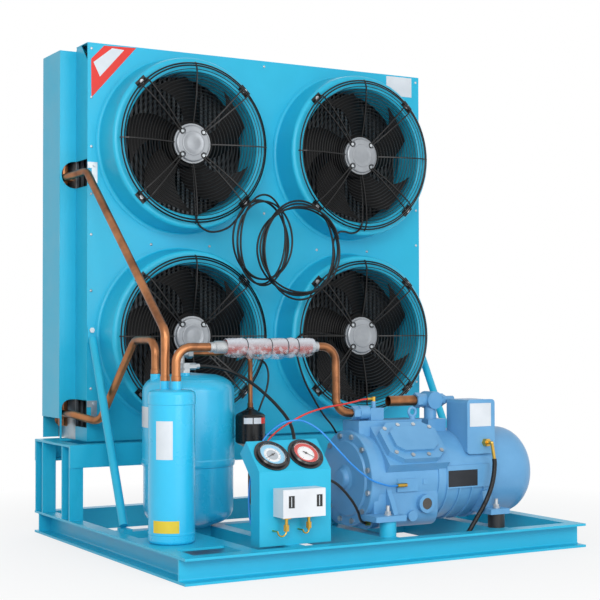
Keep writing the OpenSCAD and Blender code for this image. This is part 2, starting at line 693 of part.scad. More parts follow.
module crankcase() color(compressor_paint) placed() difference() {
    union() {
        on_axis(crank_x) linear_extrude(crank_end - crank_x) crankcase_profile();
        on_axis(crank_x) cylinder(h = flange_ring_t, r = cover_flange_r - 2, $fn = 96);
        for (a = [-eighth_turn, eighth_turn]) difference() {
            translate([crank_x + bank_from, comp_y, comp_z]) rotate([a, 0, 0]) translate([0, -bank_half, 0])
                cube([crank_end + bank_over - crank_x - bank_from, 2 * bank_half, bank_h]);
            on_axis(crank_end) cylinder(h = 2 * bank_over, r = housing_r + cut / 2, $fn = 96);
        }
        mirrored_y() {
            foot_plate(foot_left_x - foot_w / 2 - foot_t / 2, foot_w, foot_z);
            translate([foot_left_x + foot_t, 0, 0]) along_x(foot_t)
                polygon([[stud_y - foot_t, foot_z + cut], [wall_y + cut, foot_z + cut], [wall_y + cut, comp_z],
                    [wall_y - foot_t / 2, comp_z - 2 * foot_t], [stud_y + foot_t / 2, foot_z + 3 * foot_t]]);
        }
        front_boss(sight[0], sight[1], sight_r, boss_y);
        front_boss(comp_x + drain_at, foot_z + drain_up, foot_t, boss_y + foot_t / 2);
        translate([valve_plate_at[0], wall_y - valve_plate_t, valve_plate_at[1]])
            cube([valve_plate[0], valve_plate_t + cut, valve_plate[1]]);
        translate([comp_x + lug_at, wall_y - valve_plate_t, comp_z - lug_half])
            cube([foot_t, valve_plate_t + cut, foot_t]);
    }
    translate([sight[0], boss_y - cut, sight[1]]) rotate([-right_angle, 0, 0]) cylinder(h = glass_t + cut, r = glass_r);
    mirrored_y() translate([foot_left_x, stud_y, foot_z - cut]) cylinder(h = foot_t + 2 * cut, r = bolt_r + cut);
}
bell_len = 85;
bell_steps = 9;
rib_w = 7;
rib_start = 194;
rib_turn = 75;
pad_half = 30;
pad_front = 90;
pad_len = 164;
valve_pad = [58, 64, 45];
valve_pad_x = 27;
rib_from = 26;
rib_pitch = 40;
foot_right_z = 100;
foot_right_w = 62;
module motor_housing() color(compressor_paint) placed() difference() {
    union() {
        on_axis(crank_end) rotate_extrude($fn = 96) polygon(concat([[0, 0], [housing_r, 0], [housing_r, housing_len]],
            [for (i = [1:bell_steps]) let (s = i / bell_steps)
                [housing_r * pow(1 - pow(s, 2.6), 0.45), housing_len + bell_len * s]]));
        translate([crank_end + bank_over + cut, pad_front, comp_z - pad_half])
            cube([pad_len - bank_over, comp_y - pad_front, 2 * pad_half]);
        for (i = [0:3]) on_axis(crank_end + rib_from + i * rib_pitch)
            rotate([0, 0, rib_start]) rotate_extrude(angle = rib_turn, $fn = 96)
                translate([housing_r - cut, 0]) square([cap_edge, rib_w]);
        translate([crank_end + valve_pad_x, comp_y - valve_pad[1] / 2, comp_z + housing_r - valve_pad[2] * 0.6])
            cube(valve_pad);
        mirrored_y() {
            foot_plate(foot_right_x - foot_right_w / 2 - rib_w, foot_right_w, foot_right_z);
            translate([foot_right_x - 2 * foot_t, 0, 0]) along_x(2 * foot_t)
                polygon([[stud_y + foot_t, foot_right_z + cut], [comp_y - 2 * pad_half, foot_right_z + cut],
                    [comp_y - 2 * pad_half, comp_z - pad_half], [wall_y - rib_w, comp_z - 1.4 * pad_half]]);
        }
    }
    mirrored_y() translate([foot_right_x, stud_y, foot_right_z - cut]) cylinder(h = foot_t + 2 * cut, r = bolt_r + cut);
}
boss_r = 30;
boss_len = 18;
cover_bolts = 12;
cover_bolt_r = 112;
module bearing_cover() color(compressor_paint) placed() {
    on_axis(comp_x - boss_len) rotate_extrude($fn = 96) polygon([[0, 0], [boss_r * 0.7, 0], [boss_r * 0.8, 2 * cut],
        [boss_r * 0.9, boss_len - cap_edge], [boss_r * 1.2, boss_len - cut], [cover_bolt_r - 16, boss_len - cut],
        [cover_bolt_r - 12, boss_len + bolt_h], [cover_flange_r - 2, boss_len + bolt_h],
        [cover_flange_r, boss_len + bolt_h + 2 * cut], [cover_flange_r, boss_len + cover_flange_t],
        [0, boss_len + cover_flange_t]]);
}
head_skirt = 18;
head_rise = 9;
head_corner = 34;
head_edge = 5;
module octagon(l, w, c) polygon([[c, 0], [l - c, 0], [l, c * 0.8], [l, w - c * 0.8], [l - c, w], [c, w],
    [0, w - c * 0.8], [0, c * 0.8]]);
head_x = crank_x + bank_from + 6;
module head() {
    translate([head_x, -head_w / 2, bank_h]) linear_extrude(head_skirt) octagon(head_len, head_w, head_corner);
    translate([head_x + 1.6 * foot_t, -head_w / 2 + 1.6 * foot_t, bank_h + head_skirt - cut])
        linear_extrude(head_rise + cut) octagon(head_len - 3.2 * foot_t, head_w - 3.2 * foot_t, head_corner * 0.6);
}
module cylinder_heads() color(compressor_paint) placed() for (a = [-eighth_turn, eighth_turn])
    translate([0, comp_y, comp_z]) rotate([a, 0, 0]) head();

box_at = 310;
box_x = comp_x + box_at;
box_w = 91;
box_back = 190;
box_z = 257;
box_h = 145;
lid_y = 95;
lid_t = 8;
box_round = 10;
module rounded_box(w, h, r) {
    translate([r, 0]) square([w - 2 * r, h]);
    translate([0, r]) square([w, h - 2 * r]);
    for (x = [r, w - r], y = [r, h - r]) translate([x, y]) circle(r = r);
}
module terminal_box() color(compressor_paint) placed() difference() {
    translate([box_x + cut, lid_y + lid_t, box_z + cut]) along_y(box_back - lid_y - lid_t)
        rounded_box(box_w - 2 * cut, box_h - 2 * cut, box_round);
    on_axis(crank_end) cylinder(h = housing_len, r = housing_r + cut / 2, $fn = 96);
}
module terminal_box_lid() color(compressor_paint) placed()
    translate([box_x, lid_y, box_z]) along_y(lid_t) rounded_box(box_w, box_h, box_round);

// Suction valve on its pad, with the stub that the suction pipe is brazed to
valve_at = 272;
valve_rise = 60;
valve_x = comp_x + valve_at;
pad_top = comp_z + housing_r + valve_pad[2] * 0.4;
suction_z = pad_top + valve_rise;
valve_body_r = 23.5;
valve_body_half = 25;
valve_base_t = 10;
nut_r = 21;
nut_t = 16;
port_len = 30;
stem_len = 74;
module suction_valve() color(compressor_paint) placed() {
    translate([valve_x - valve_pad[0] / 2, comp_y - valve_pad[1] / 2, pad_top])
        cube([valve_pad[0], valve_pad[1], valve_base_t]);
    translate([valve_x, comp_y, pad_top + valve_base_t - cut])
        cylinder(h = suction_z - pad_top - valve_base_t, r = valve_body_r * 0.72);
    translate([valve_x, comp_y + valve_body_half, suction_z]) rotate([right_angle, 0, 0])
        cylinder(h = 2 * valve_body_half, r = valve_body_r);
    translate([valve_x - port_len - cap_edge, comp_y, suction_z]) rotate([0, right_angle, 0])
        cylinder(h = port_len + cap_edge, r = valve_body_r * 0.75);
    translate([valve_x, comp_y, suction_z]) rotate([0, right_angle, 0]) cylinder(h = stem_len * 0.62, r = cap_edge * 2.6);
    translate([valve_x + stem_len * 0.42, comp_y, suction_z]) rotate([0, right_angle, 0])
        cylinder(h = cap_edge * 2, r = cap_edge * 3.4, $fn = 6);
    translate([valve_x, comp_y, suction_z]) rotate([0, right_angle, 0]) cylinder(h = stem_len, r = cap_edge * 2);
    translate([valve_x - port_len - cap_edge - nut_t, comp_y, suction_z]) rotate([0, right_angle, 0])
        cylinder(h = nut_t, r = nut_r, $fn = 6);
}
stub_len = 86;
suction_face = valve_x - port_len - cap_edge - nut_t;
module suction_stub() color(copper) placed() translate([suction_face - stub_len, comp_y, suction_z])
    rotate([0, right_angle, 0]) difference() {
        cylinder(h = stub_len, r = suction_pipe_r);
        translate([0, 0, -cut]) cylinder(h = stub_len - 4 * cut, r = suction_pipe_r - 1.5 * cut);
    }

// Discharge valve on the crankcase deck
discharge_at = 21;
discharge_rise = 16;
discharge_x = comp_x + discharge_at;
discharge_z = comp_z + deck_h + discharge_rise;
discharge_nut_r = 18.5;
discharge_nut_t = 20;
discharge_ring_t = 28;
discharge_block = [40, 38, 32];
discharge_stem_h = 18;
module discharge_valve() color(compressor_paint) placed() {
    deck = comp_z + deck_h;
    x = discharge_x + discharge_nut_t + discharge_ring_t;
    translate([x, comp_y - discharge_block[1] / 2, deck]) cube(discharge_block);
    translate([discharge_x + discharge_nut_t - cut, comp_y, discharge_z + 4 * cut]) rotate([0, right_angle, 0])
        cylinder(h = discharge_ring_t + 2 * cut, r = discharge_nut_r);
    translate([discharge_x, comp_y, discharge_z + 4 * cut]) rotate([0, right_angle, 0])
        cylinder(h = discharge_nut_t, r = discharge_nut_r, $fn = 6);
    translate([x + discharge_block[0] / 2, comp_y, deck + discharge_block[2] - cut])
        cylinder(h = discharge_stem_h, r = bolt_r + cut);
}
eye_r = 11;
eye_wire = 4;
eye_at = [195, -26];
eye_x = comp_x + eye_at[0];
eye_y = comp_y + eye_at[1];
module lifting_eye() color(compressor_paint) placed() {
    translate([eye_x, eye_y, comp_z + deck_h + eye_r + eye_wire + bolt_h]) rotate([right_angle, 0, 0])
        rotate_extrude($fn = 36) translate([eye_r, 0]) circle(r = eye_wire, $fn = 16);
    translate([eye_x, eye_y, comp_z + deck_h]) cylinder(h = bolt_h + eye_wire, r = eye_r * 0.8);
}
module oil_sight_glass() color("#2b2a26") placed() translate([sight[0], boss_y + glass_t, sight[1]])
    rotate([right_angle, 0, 0]) cylinder(h = glass_t - cut, r = glass_r - cut / 4);

spacer_r = 21.5;
rubber_r = 22.5;
stud_h = 40;
module compressor_mounts() placed() mirrored_y() {
    color(paint) translate([foot_left_x, stud_y, base_top]) cylinder(h = foot_z - base_top, r = spacer_r);
    color(black) translate([foot_right_x, stud_y, base_top]) cylinder(h = foot_right_z - base_top, r = rubber_r);
}
module foot_bolt(x, z) translate([x, stud_y, z]) {
    cylinder(h = 2 * cut, r = 2 * bolt_r);
    translate([0, 0, 2 * cut]) cylinder(h = bolt_h * 2, r = 1.7 * bolt_r, $fn = 6);
    cylinder(h = stud_h * 0.6, r = bolt_r);
}
module compressor_bolts() color(steel) placed() {
    mirrored_y() {
        foot_bolt(foot_left_x, foot_z + foot_t);
        foot_bolt(foot_right_x, foot_right_z + foot_t);
    }
    for (i = [0:cover_bolts - 1]) on_axis(comp_x + bolt_h) rotate([0, 0, (i + 0.5) * 360 / cover_bolts])
        translate([cover_bolt_r, 0, -bolt_h * 1.5]) cylinder(h = bolt_h * 1.5, r = 1.5 * bolt_r, $fn = 6);
    for (a = [-eighth_turn, eighth_turn]) translate([0, comp_y, comp_z]) rotate([a, 0, 0])
        for (x = [head_corner * 0.5, head_len * 0.36, head_len * 0.64, head_len - head_corner * 0.5], side = [-1, 1])
            let (inset = (x < head_corner || x > head_len - head_corner ? 1.6 : 0.8) * foot_t)
            translate([head_x + x, side * (head_w / 2 - inset), bank_h + head_skirt])
                cylinder(h = bolt_h, r = 1.2 * bolt_r, $fn = 6);
}

// Vessels: turned profiles with rounded ends
function dome(r, z, rise, power, steps) =
    [for (i = [0:steps]) let (s = i / steps) [r * pow(1 - pow(s, power), 1 / power), z + rise * s]];
dome_steps = 9;
seam_h = 26;
seam_out = 1.5;
module oil_separator() color(paint) placed() {
    translate([separator_x, separator_y, base_top]) rotate_extrude($fn = 72) polygon(concat(
        [[0, 0], [separator_r - 8, 0]], arc([separator_r - 8, 8], 8, 270, 360, root_steps),
        [[separator_r, 22], [separator_r + seam_out / 2, 23], [separator_r + seam_out / 2, 27], [separator_r, 28],
        [separator_r, separator_h - 10 - seam_h - 2], [separator_r + seam_out, separator_h - 10 - seam_h],
        [separator_r + seam_out, separator_h - 12]],
        arc([separator_r - 6, separator_h - 10], 6, 15, right_angle, root_steps),
        [[separator_r * 0.8, separator_h - 1.5], [separator_r * 0.55, separator_h], [0, separator_h]]));
    for (p = [separator_in, separator_out]) translate([p[0], p[1], separator_top - bolt_h])
        cylinder(h = fitting_h + bolt_h, r = fitting_r);
}
receiver_knuckle = 56;
receiver_seam = 170;
receiver_lower = 3;
foot_ring_r = 55;
module receiver() color(paint) placed() {
    low = receiver_r - receiver_lower;
    translate([receiver_x, receiver_y, base_top]) rotate_extrude($fn = 96) polygon(concat(
        [[0, flange_t]], [[foot_ring_r - flange_t, flange_t], [foot_ring_r - flange_t, 0], [foot_ring_r, 0]],
        [for (p = reversed(dome(low, 0, receiver_knuckle, 2.6, dome_steps))) if (p[0] > foot_ring_r + cut && p[0] < low)
            [p[0], receiver_knuckle - p[1]]],
        [[low, receiver_knuckle], [low, receiver_seam - 8], [receiver_r, receiver_seam - 6],
        [receiver_r + seam_out, receiver_seam], [receiver_r + seam_out, receiver_seam + 10], [receiver_r, receiver_seam + 14]],
        dome(receiver_r, receiver_h - receiver_knuckle, receiver_knuckle, 2.6, dome_steps)));
    translate([inlet_x, receiver_y, receiver_top - receiver_knuckle / 2])
        cylinder(h = inlet_top - receiver_top + receiver_knuckle / 2, r = fitting_r);
    for (p = [angle_valve, outlet_valve]) translate([p[0], p[1], receiver_top - receiver_knuckle / 2])
        cylinder(h = receiver_knuckle / 2, r = fitting_r);
}
angle_valve = [receiver_x - 35, receiver_y - 55];
outlet_valve = [receiver_x - 26, receiver_y - 10];
hose_valve_h = 26;
liquid_z = receiver_top + 50;
module receiver_valves() color(steel) placed() {
    translate([angle_valve[0] - 9, angle_valve[1] - 9, receiver_top]) difference() {
        cube([18, 18, hose_valve_h]);
        translate([-cut, -cut, hose_valve_h * 0.3]) cube([4, 22, 5]);
    }
    translate([angle_valve[0], angle_valve[1], receiver_top + hose_valve_h - 9]) rotate([0, right_angle, 0]) {
        cylinder(h = 40, r = 7);
        cylinder(h = 30, r = 9.5, $fn = 6);
    }
    translate([outlet_valve[0], outlet_valve[1], receiver_top]) cylinder(h = liquid_z - receiver_top, r = 9);
    translate([outlet_valve[0] - 17, outlet_valve[1], liquid_z]) rotate([0, right_angle, 0]) {
        cylinder(h = 40, r = 10);
        translate([0, 0, 34]) cylinder(h = 14, r = 13, $fn = 6);
    }
}
drier_x = 384;
drier_y = 410;
drier_z = 268;
drier_cone = 20;
drier_neck = 10;
module filter_drier() color(black) placed() translate([drier_x, drier_y, drier_z]) rotate_extrude($fn = 64)
    polygon([[0, 0], [drier_neck, 0], [drier_neck, 4], [drier_r - 3, drier_cone - 2], [drier_r, drier_cone + 2],
        [drier_r, drier_h - drier_cone - 2], [drier_r - 3, drier_h - drier_cone + 2], [drier_neck, drier_h - 4],
        [drier_neck, drier_h], [0, drier_h]]);
liquid_bend = 26;
liquid_low = 97;
outlet_end = 540;
outlet_len = 50;
socket_len = 14;
socket_wall = 1.25;
// Under the drier the line ends in a straight stub that is brazed into a socket
module liquid_line() color(copper) placed() {
    stub_x = outlet_end - outlet_len;
    pipe_run([[outlet_valve[0] + 31, outlet_valve[1], liquid_z], [drier_x - 50, outlet_valve[1], liquid_z],
        [drier_x, drier_y, liquid_z], [drier_x, drier_y, drier_z + drier_h]], liquid_pipe_r, liquid_bend);
    pipe_run([[drier_x, drier_y, drier_z], [drier_x, drier_y, liquid_low], [stub_x - cut, drier_y, liquid_low]],
        liquid_pipe_r, 2 * liquid_bend);
    translate([stub_x, drier_y, liquid_low]) rotate([0, right_angle, 0]) {
        cylinder(h = outlet_len, r = liquid_pipe_r);
        translate([0, 0, -socket_len / 2]) cylinder(h = socket_len, r = liquid_pipe_r + socket_wall);
    }
}
// Discharge line: separator, bend, vibration absorber, bend, compressor
line_z = fitting_top + 84;
absorber_x = [176, 480];
drop = [533, comp_y + 4];
absorber_y = [for (x = absorber_x) separator_out[1] + (drop[1] - separator_out[1]) * (x - separator_out[0])
    / (drop[0] - separator_out[0])];
module discharge_pipe() color(copper) placed() {
    pipe_run([[separator_out[0], separator_out[1], fitting_top], [separator_out[0], separator_out[1], line_z],
        [absorber_x[0], absorber_y[0], line_z]], gas_pipe_r, pipe_bend);
    pipe_run([[absorber_x[1], absorber_y[1], line_z], [drop[0], drop[1], line_z],
        [drop[0], comp_y, discharge_z + 4 * cut], [discharge_x, comp_y, discharge_z + 4 * cut]],
        gas_pipe_r, pipe_bend);
}
absorber_r = 16;
wrap_r = 23;
wrap_from = 0.14;
wrap_to = 0.955;
module vibration_absorber() color("#b9c2cc") placed() {
    a = [absorber_x[0], absorber_y[0], line_z];
    b = [absorber_x[1], absorber_y[1], line_z];
    length = norm(b - a);
    toward(a, b) rotate_extrude() polygon([[0, 0], [fitting_r, 0], [fitting_r, 10], [absorber_r, 13],
        [absorber_r, length * wrap_from], [wrap_r - 2, length * wrap_from + 3], [wrap_r, length * 0.3],
        [wrap_r, length * 0.7], [wrap_r - 1, length * wrap_to - 4], [fitting_r, length * wrap_to],
        [fitting_r, length], [0, length]]);
}

// Console: one folded sheet with a front, a slanted top and two side flanges
console_x = 230;
console_y = 70;
console_flange = 45;
slant = 45;
gauge_x = [53, 148];
gauge_up = 49.5;
gauge_hole_r = 37;
case_r = 36;
case_depth = 24;
slope = [console_slant * cos(slant), console_slant * sin(slant)];
knee = base_top + console_front_h;
module console_outline() {
    inner = console_flange * tan(slant / 2);
    polygon([[console_y, base_top], [console_y + console_flange, base_top],
        [console_y + console_flange, knee - inner],
        [console_y + slope[0] + console_flange * sin(slant), knee + slope[1] - console_flange * cos(slant)],
        [console_y + slope[0], knee + slope[1]], [console_y, knee]]);
}
module console_skin() {
    t = sheet_t;
    inner = t * tan(slant / 2);
    polygon([[console_y, base_top], [console_y + console_flange, base_top], [console_y + console_flange, base_top + t],
        [console_y + t, base_top + t], [console_y + t, knee - inner],
        [console_y + slope[0] + t * sin(slant), knee + slope[1] - t * cos(slant)],
        [console_y + slope[0], knee + slope[1]], [console_y, knee]]);
}
module at_gauge(i) translate([console_x + gauge_x[i], console_y + gauge_up * cos(slant), knee + gauge_up * sin(slant)])
    rotate([slant, 0, 0]) children();
module console() color(paint) placed() difference() {
    union() {
        translate([console_x, 0, 0]) along_x(console_w) console_skin();
        for (x = [0, console_w - sheet_t]) translate([console_x + x, 0, 0]) along_x(sheet_t) console_outline();
    }
    for (i = [0, 1]) at_gauge(i) translate([0, 0, -4 * sheet_t]) cylinder(h = 8 * sheet_t, r = gauge_hole_r);
}
bezel_t = 3;
bezel_h = 11;
bezel_r = 40;
dial_r = 34;
dial_h = 4;
lens_h = 8;
needle_h = 5.5;
pin_r = 1.6;
module gauge_case() difference() {
    union() {
        cylinder(h = bezel_t, r = gauge_r, $fn = 64);
        translate([0, 0, -case_depth]) cylinder(h = case_depth + cut, r = case_r);
        rotate_extrude($fn = 64) polygon([[0, cut], [bezel_r, cut], [bezel_r, bezel_h - bezel_t],
            [bezel_r - bezel_t, bezel_h], [0, bezel_h]]);
        translate([0, 0, -case_depth - foot_t]) cylinder(h = foot_t + cut, r = bolt_r);
    }
    translate([0, 0, dial_h]) cylinder(h = bezel_h, r = dial_r, $fn = 64);
    for (a = [right_angle:120:360]) rotate([0, 0, a]) translate([bezel_r + 3.6, 0, -cut]) cylinder(h = bezel_h, r = pin_r);
    translate([0, 0, dial_h - bezel_t]) cylinder(h = bezel_h, r = pin_r + shaft_clearance);
}
module gauge_cases() color(black) placed() for (i = [0, 1]) at_gauge(i) gauge_case();
module gauge_lenses() color("#dfe8ee80") placed() for (i = [0, 1]) at_gauge(i)
    translate([0, 0, lens_h]) cylinder(h = 1.2 * cut, r = dial_r, $fn = 64);
needle_len = 26;
needle_tail = 9;
needle_w = 2.4;
needle_t = 0.8;
needle_rest = [205, -40];
module needle(i) at_gauge(i) rotate([0, 0, needle_rest[i]]) {
    translate([0, 0, needle_h]) linear_extrude(needle_t)
        polygon([[-needle_tail, -needle_w / 2], [0, -needle_w / 2], [needle_len, 0], [0, needle_w / 2],
            [-needle_tail, needle_w / 2]]);
    translate([0, 0, needle_h]) cylinder(h = needle_t, r = 2 * pin_r);
    translate([0, 0, dial_h - bezel_t / 2]) cylinder(h = needle_h - dial_h + bezel_t / 2 + cut / 2, r = pin_r);
}
module needle_low() color("#16181b") placed() needle(0);
module needle_high() color("#16181b") placed() needle(1);

control_at = [38, 72];
control = [118, 50, 68];
window = [17, 1.5, 30];
window_x_share = [0.2, 0.86];
module pressure_control() color("#f2f3f5") placed() difference() {
    translate([console_x + control_at[0], console_y - control[1], base_top + control_at[1]]) cube(control);
    for (s = window_x_share) translate([console_x + control_at[0] + s * control[0] - window[0] / 2,
        console_y - control[1] - cut, base_top + control_at[1] + control[2] * 0.34])
        cube([window[0], window[1] + cut, window[2]]);
}
port_x_share = [0.19, 0.72];
port_flange_share = [1.0, 0.55];
loop_r = [12, 8];
port_r = 13;
port_drop = 34;
capillary_r = 2;
module pressure_connectors() placed() for (i = [0, 1]) {
    x = console_x + control_at[0] + port_x_share[i] * control[0];
    y = console_y - control[1] / 2;
    z = base_top + control_at[1];
    color(brass) translate([x, y, z - bolt_h]) cylinder(h = bolt_h, r = port_r * port_flange_share[i]);
    color(brass) translate([x, y, z - port_drop]) cylinder(h = port_drop - bolt_h + cut, r = bolt_r * 0.8);
    color(brass) translate([x, y, z - port_drop + i * bolt_h]) cylinder(h = 15, r = bolt_r * 1.5, $fn = 6);
    color("#2c5a66") translate([x - loop_r[i], y, z - port_drop]) rotate([right_angle, 0, 0]) rotate([0, 0, -half_turn])
        rotate_extrude(angle = half_turn) translate([loop_r[i], 0]) circle(r = capillary_r);
    color("#2c5a66") translate([x - 2 * loop_r[i], y, z - port_drop - cut / 2]) rotate([-right_angle, 0, 0])
        cylinder(h = control[1] / 2, r = capillary_r);
}

screw_r = 4.2;
screw_h = 2.6;
edge_x = 12;
panel_screw_x = [199, 389, 763, 949];
edge_z_share = [[0.131, 0.376, 0.517, 0.619, 0.738, 0.862, 0.985], [0.131, 0.519, 0.619, 0.985]];
module panel_screw(x, z) translate([x, panel_y, z]) rotate([right_angle, 0, 0])
    rotate_extrude($fn = 20) polygon(concat([[0, 0]], [for (i = [0:root_steps]) let (a = i * right_angle / root_steps)
        [screw_r * cos(a), screw_h * sin(a)]]));
module casing_screws() color(steel) placed() {
    for (side = [0, 1], s = edge_z_share[side])
        panel_screw(side == 0 ? panel_x + edge_x : panel_right - edge_x, stand_top + s * condenser_h);
    for (x = panel_screw_x) panel_screw(panel_x + x, stand_top + fan_low + fan_pitch_z / 2 - edge_x);
    for (s = [0.01, 0.59, 0.985]) panel_screw(panel_x + panel_w / 2, stand_top + s * condenser_h);
    for (i = [0:3], a = [eighth_turn:right_angle:360]) at_fan(i) rotate([0, 0, a]) {
        translate([eyelet_at, 0, guard_foot_h]) cylinder(h = bolt_h, r = bolt_r, $fn = 6);
        translate([ear_at, 0, collar_h + ear_t]) cylinder(h = bolt_h, r = 1.4 * bolt_r, $fn = 6);
    }
    translate([brace_top[0][0], panel_y - flange_t, brace_top[0][2] + brace_up]) rotate([right_angle, 0, 0])
        cylinder(h = bolt_h, r = 1.6 * bolt_r, $fn = 6);
    translate([panel_right + flange_t, brace_top[1][1], brace_top[1][2] + brace_up]) rotate([0, right_angle, 0])
        cylinder(h = bolt_h, r = 1.6 * bolt_r, $fn = 6);
}

// Glands, elbows and ports that the cables and hoses run to
elbow_r = 4.5;
gland_x = 58;
gland_up = 30;
elbow_out = 30;
elbow_down = 42;
elbow_lean = 8;
heater_gland = 12;
heater_at = [-90, -108];
heater_gland_r = 6;
nut_gland_r = 11;
nut_gland_h = 14;
rail_gland_h = 8;
stub_gap = 12;
port_at = [80, 18];
port_run = 28;
port_post_at = 102;
valve_cap_h = 12;
rail_gland_x = 812;
rail_gland_z = 32;
module cable_glands() color(brass) placed() {
    g = [box_x + gland_x, lid_y, box_z + gland_up];
    translate(g) rotate([right_angle, 0, 0]) cylinder(h = nut_gland_h, r = nut_gland_r, $fn = 6);
    rod(g - [0, stub_gap, 0], g - [0, elbow_out, 0], elbow_r);
    translate(g - [0, elbow_out, 0]) sphere(r = elbow_r + cut / 2);
    rod(g - [0, elbow_out, 0], g - [-elbow_lean, elbow_out, elbow_down], elbow_r);
    translate([rail_gland_x, channel_flange + rail_gland_h, rail_gland_z]) rotate([right_angle, 0, 0])
        cylinder(h = rail_gland_h, r = nut_gland_r);
    translate([crank_x - heater_gland, comp_y + heater_at[0], comp_z + heater_at[1]]) rotate([0, right_angle, 0])
        cylinder(h = heater_gland, r = heater_gland_r);
    translate([comp_x + port_at[0], boss_y, valve_plate_at[1] + port_at[1]]) rotate([0, right_angle, 0])
        cylinder(h = port_run, r = bolt_r);
    translate([comp_x + port_post_at, wall_y - valve_plate_t, valve_plate_at[1] + port_at[1]])
        rotate([right_angle, 0, 0]) cylinder(h = wall_y - valve_plate_t - boss_y, r = bolt_r * 0.8);
    top = comp_z + deck_h + discharge_block[2] + discharge_stem_h - cut;
    translate([discharge_x + discharge_nut_t + discharge_ring_t + discharge_block[0] / 2, comp_y, top]) {
        cylinder(h = valve_cap_h, r = bolt_r * 1.2);
        translate([-discharge_block[0] / 2, 0, valve_cap_h / 2]) rotate([0, right_angle, 0])
            cylinder(h = discharge_block[0] / 2, r = bolt_r * 0.8);
    }
}

// Routes of the cords, in millimetres from the front left corner of the base
fan_cable_r = 3;
red_hose_r = 2.4;
blue_hose_r = 2.4;
black_hose_r = 4.4;
heater_r = 3.5;
conduit_r = 6.5;
fan_cable_1 = [[385, 778, 1076], [386, 773, 1050], [386, 766, 1010], [387, 762, 960], [390, 760, 918], [404, 760, 892],
    [432, 759, 878], [464, 759, 880], [494, 758, 892], [514, 756, 910]];
fan_cable_2 = [[967, 778, 1076], [966, 773, 1050], [966, 766, 1010], [965, 762, 960], [960, 760, 918], [944, 760, 892],
    [918, 758, 876], [890, 748, 868], [860, 733, 866]];
fan_cable_3 = [[443, 778, 560], [470, 773, 550], [510, 768, 536], [556, 762, 520], [600, 760, 504], [622, 760, 484],
    [627, 756, 452], [617, 750, 412], [598, 748, 370], [584, 752, 330], [576, 758, 300], [574, 763, 274]];
fan_cable_4 = [[909, 778, 572], [880, 774, 573], [840, 768, 577], [796, 763, 581], [756, 760, 580], [730, 760, 566],
    [722, 758, 545], [728, 754, 500], [748, 752, 440], [778, 750, 385], [812, 750, 335], [846, 755, 300], [868, 762, 274]];
red_hose = [[283, 132.2, 250.7], [283, 138, 245], [285, 152, 238], [290, 168, 250], [298, 176, 280], [314, 178, 312],
    [346, 175, 339], [384, 173, 359], [427, 175, 376], [482, 182, 388], [540, 192, 394], [586, 203, 400],
    [612, 211, 404], [629, 212, 405]];
blue_hose = [[240, 116, 96], [238, 128, 110], [238, 140, 150], [244, 146, 210], [262, 150, 270], [290, 152, 320],
    [330, 151, 350], [364, 147, 360], [396, 138, 357], [428, 116, 334], [458, 92, 294], [496, 76, 250], [544, 70, 212],
    [588, 73, 195], [618, 81, 188], [640, 85, 188]];
black_hose = [[253.2, 455, 492], [268, 454, 492], [296, 450, 489], [330, 436, 480], [362, 402, 460], [386, 352, 428],
    [402, 290, 388], [410, 238, 346], [406, 208, 300], [400, 196, 258], [392, 180, 228], [383, 157, 222],
    [378, 140, 242.5], [378, 132.2, 250.7]];
heater_cable = [[432, 98, 212], [446, 97, 210], [462, 94, 201], [486, 91, 178], [510, 90, 152], [528, 94, 128],
    [540, 104, 108], [551, 116, 95], [560, 121.5, 92.2], [565.7, 122, 92]];
conduit = [[936, 65, 245], [936, 64, 228], [932, 64, 196], [922, 65, 162], [905, 68, 126], [880, 70, 90],
    [854, 68, 58], [832, 60, 40], [812, 49, 32]];
// Each hank of fan cable is one tube in wandering oval loops that step forward turn by turn
hank_turns = 4;
hank_rings = 24;
hank_step = 6.9;
hank_1 = [600, 755, 855, 84, 126];
hank_2 = [707, 719, 829, 128, 138];
function hank_point(h, start, lean, t) =
    let (a = start - 360 * t, wobble = 12 * sin(t * 130),
        x = (h[3] + wobble) * cos(a), z = (h[4] - wobble) * sin(a), tilt = lean * sin(t * 97))
    [h[0] + x * cos(tilt) - z * sin(tilt), h[1] - hank_step * t, h[2] + x * sin(tilt) + z * cos(tilt)];
function hank_path(h, start, lean) =
    [for (i = [0:hank_turns * hank_rings]) hank_point(h, start, lean, i / hank_rings)];
hank_path_1 = hank_path(hank_1, 140, 9);
hank_path_2 = hank_path(hank_2, 12, 7);
module fan_cables() color(black) placed() {
    for (p = [concat(fan_cable_1, [hank_path_1[0]]), concat(fan_cable_2, [hank_path_2[0]]), fan_cable_3, fan_cable_4])
        swept_tube(p, fan_cable_r, 8, [0, 1, 0]);
}
// Least gap between one turn of a hank and the next, measured on the tube's own points
function least_gap(p) = min([for (i = [0:len(p) - 1 - hank_rings / 2], j = [i + hank_rings / 2:len(p) - 1])
    norm(p[i] - p[j])]) - 2 * fan_cable_r;
echo(least_gap_in_hank_1 = least_gap(hank_path_1));
echo(least_gap_in_hank_2 = least_gap(hank_path_2));
module fan_cable_coils() placed() for (p = [hank_path_1, hank_path_2])
    color(black) swept_tube(p, fan_cable_r, 6, [0, 1, 0]);
module gauge_hoses() placed() {
    color("#d23a2e") swept_tube(red_hose, red_hose_r, 8, [0, 0, 1]);
    color("#1f86d8") swept_tube(blue_hose, blue_hose_r, 8, [1, 0, 0]);
    color(black) swept_tube(black_hose, black_hose_r, 8, [0, 0, 1]);
}
module compressor_cables() placed() {
    color(black) swept_tube(heater_cable, heater_r, 8, [0, 0, 1]);
    color(black) swept_tube(conduit, conduit_r, 8, [1, 0, 0]);
}

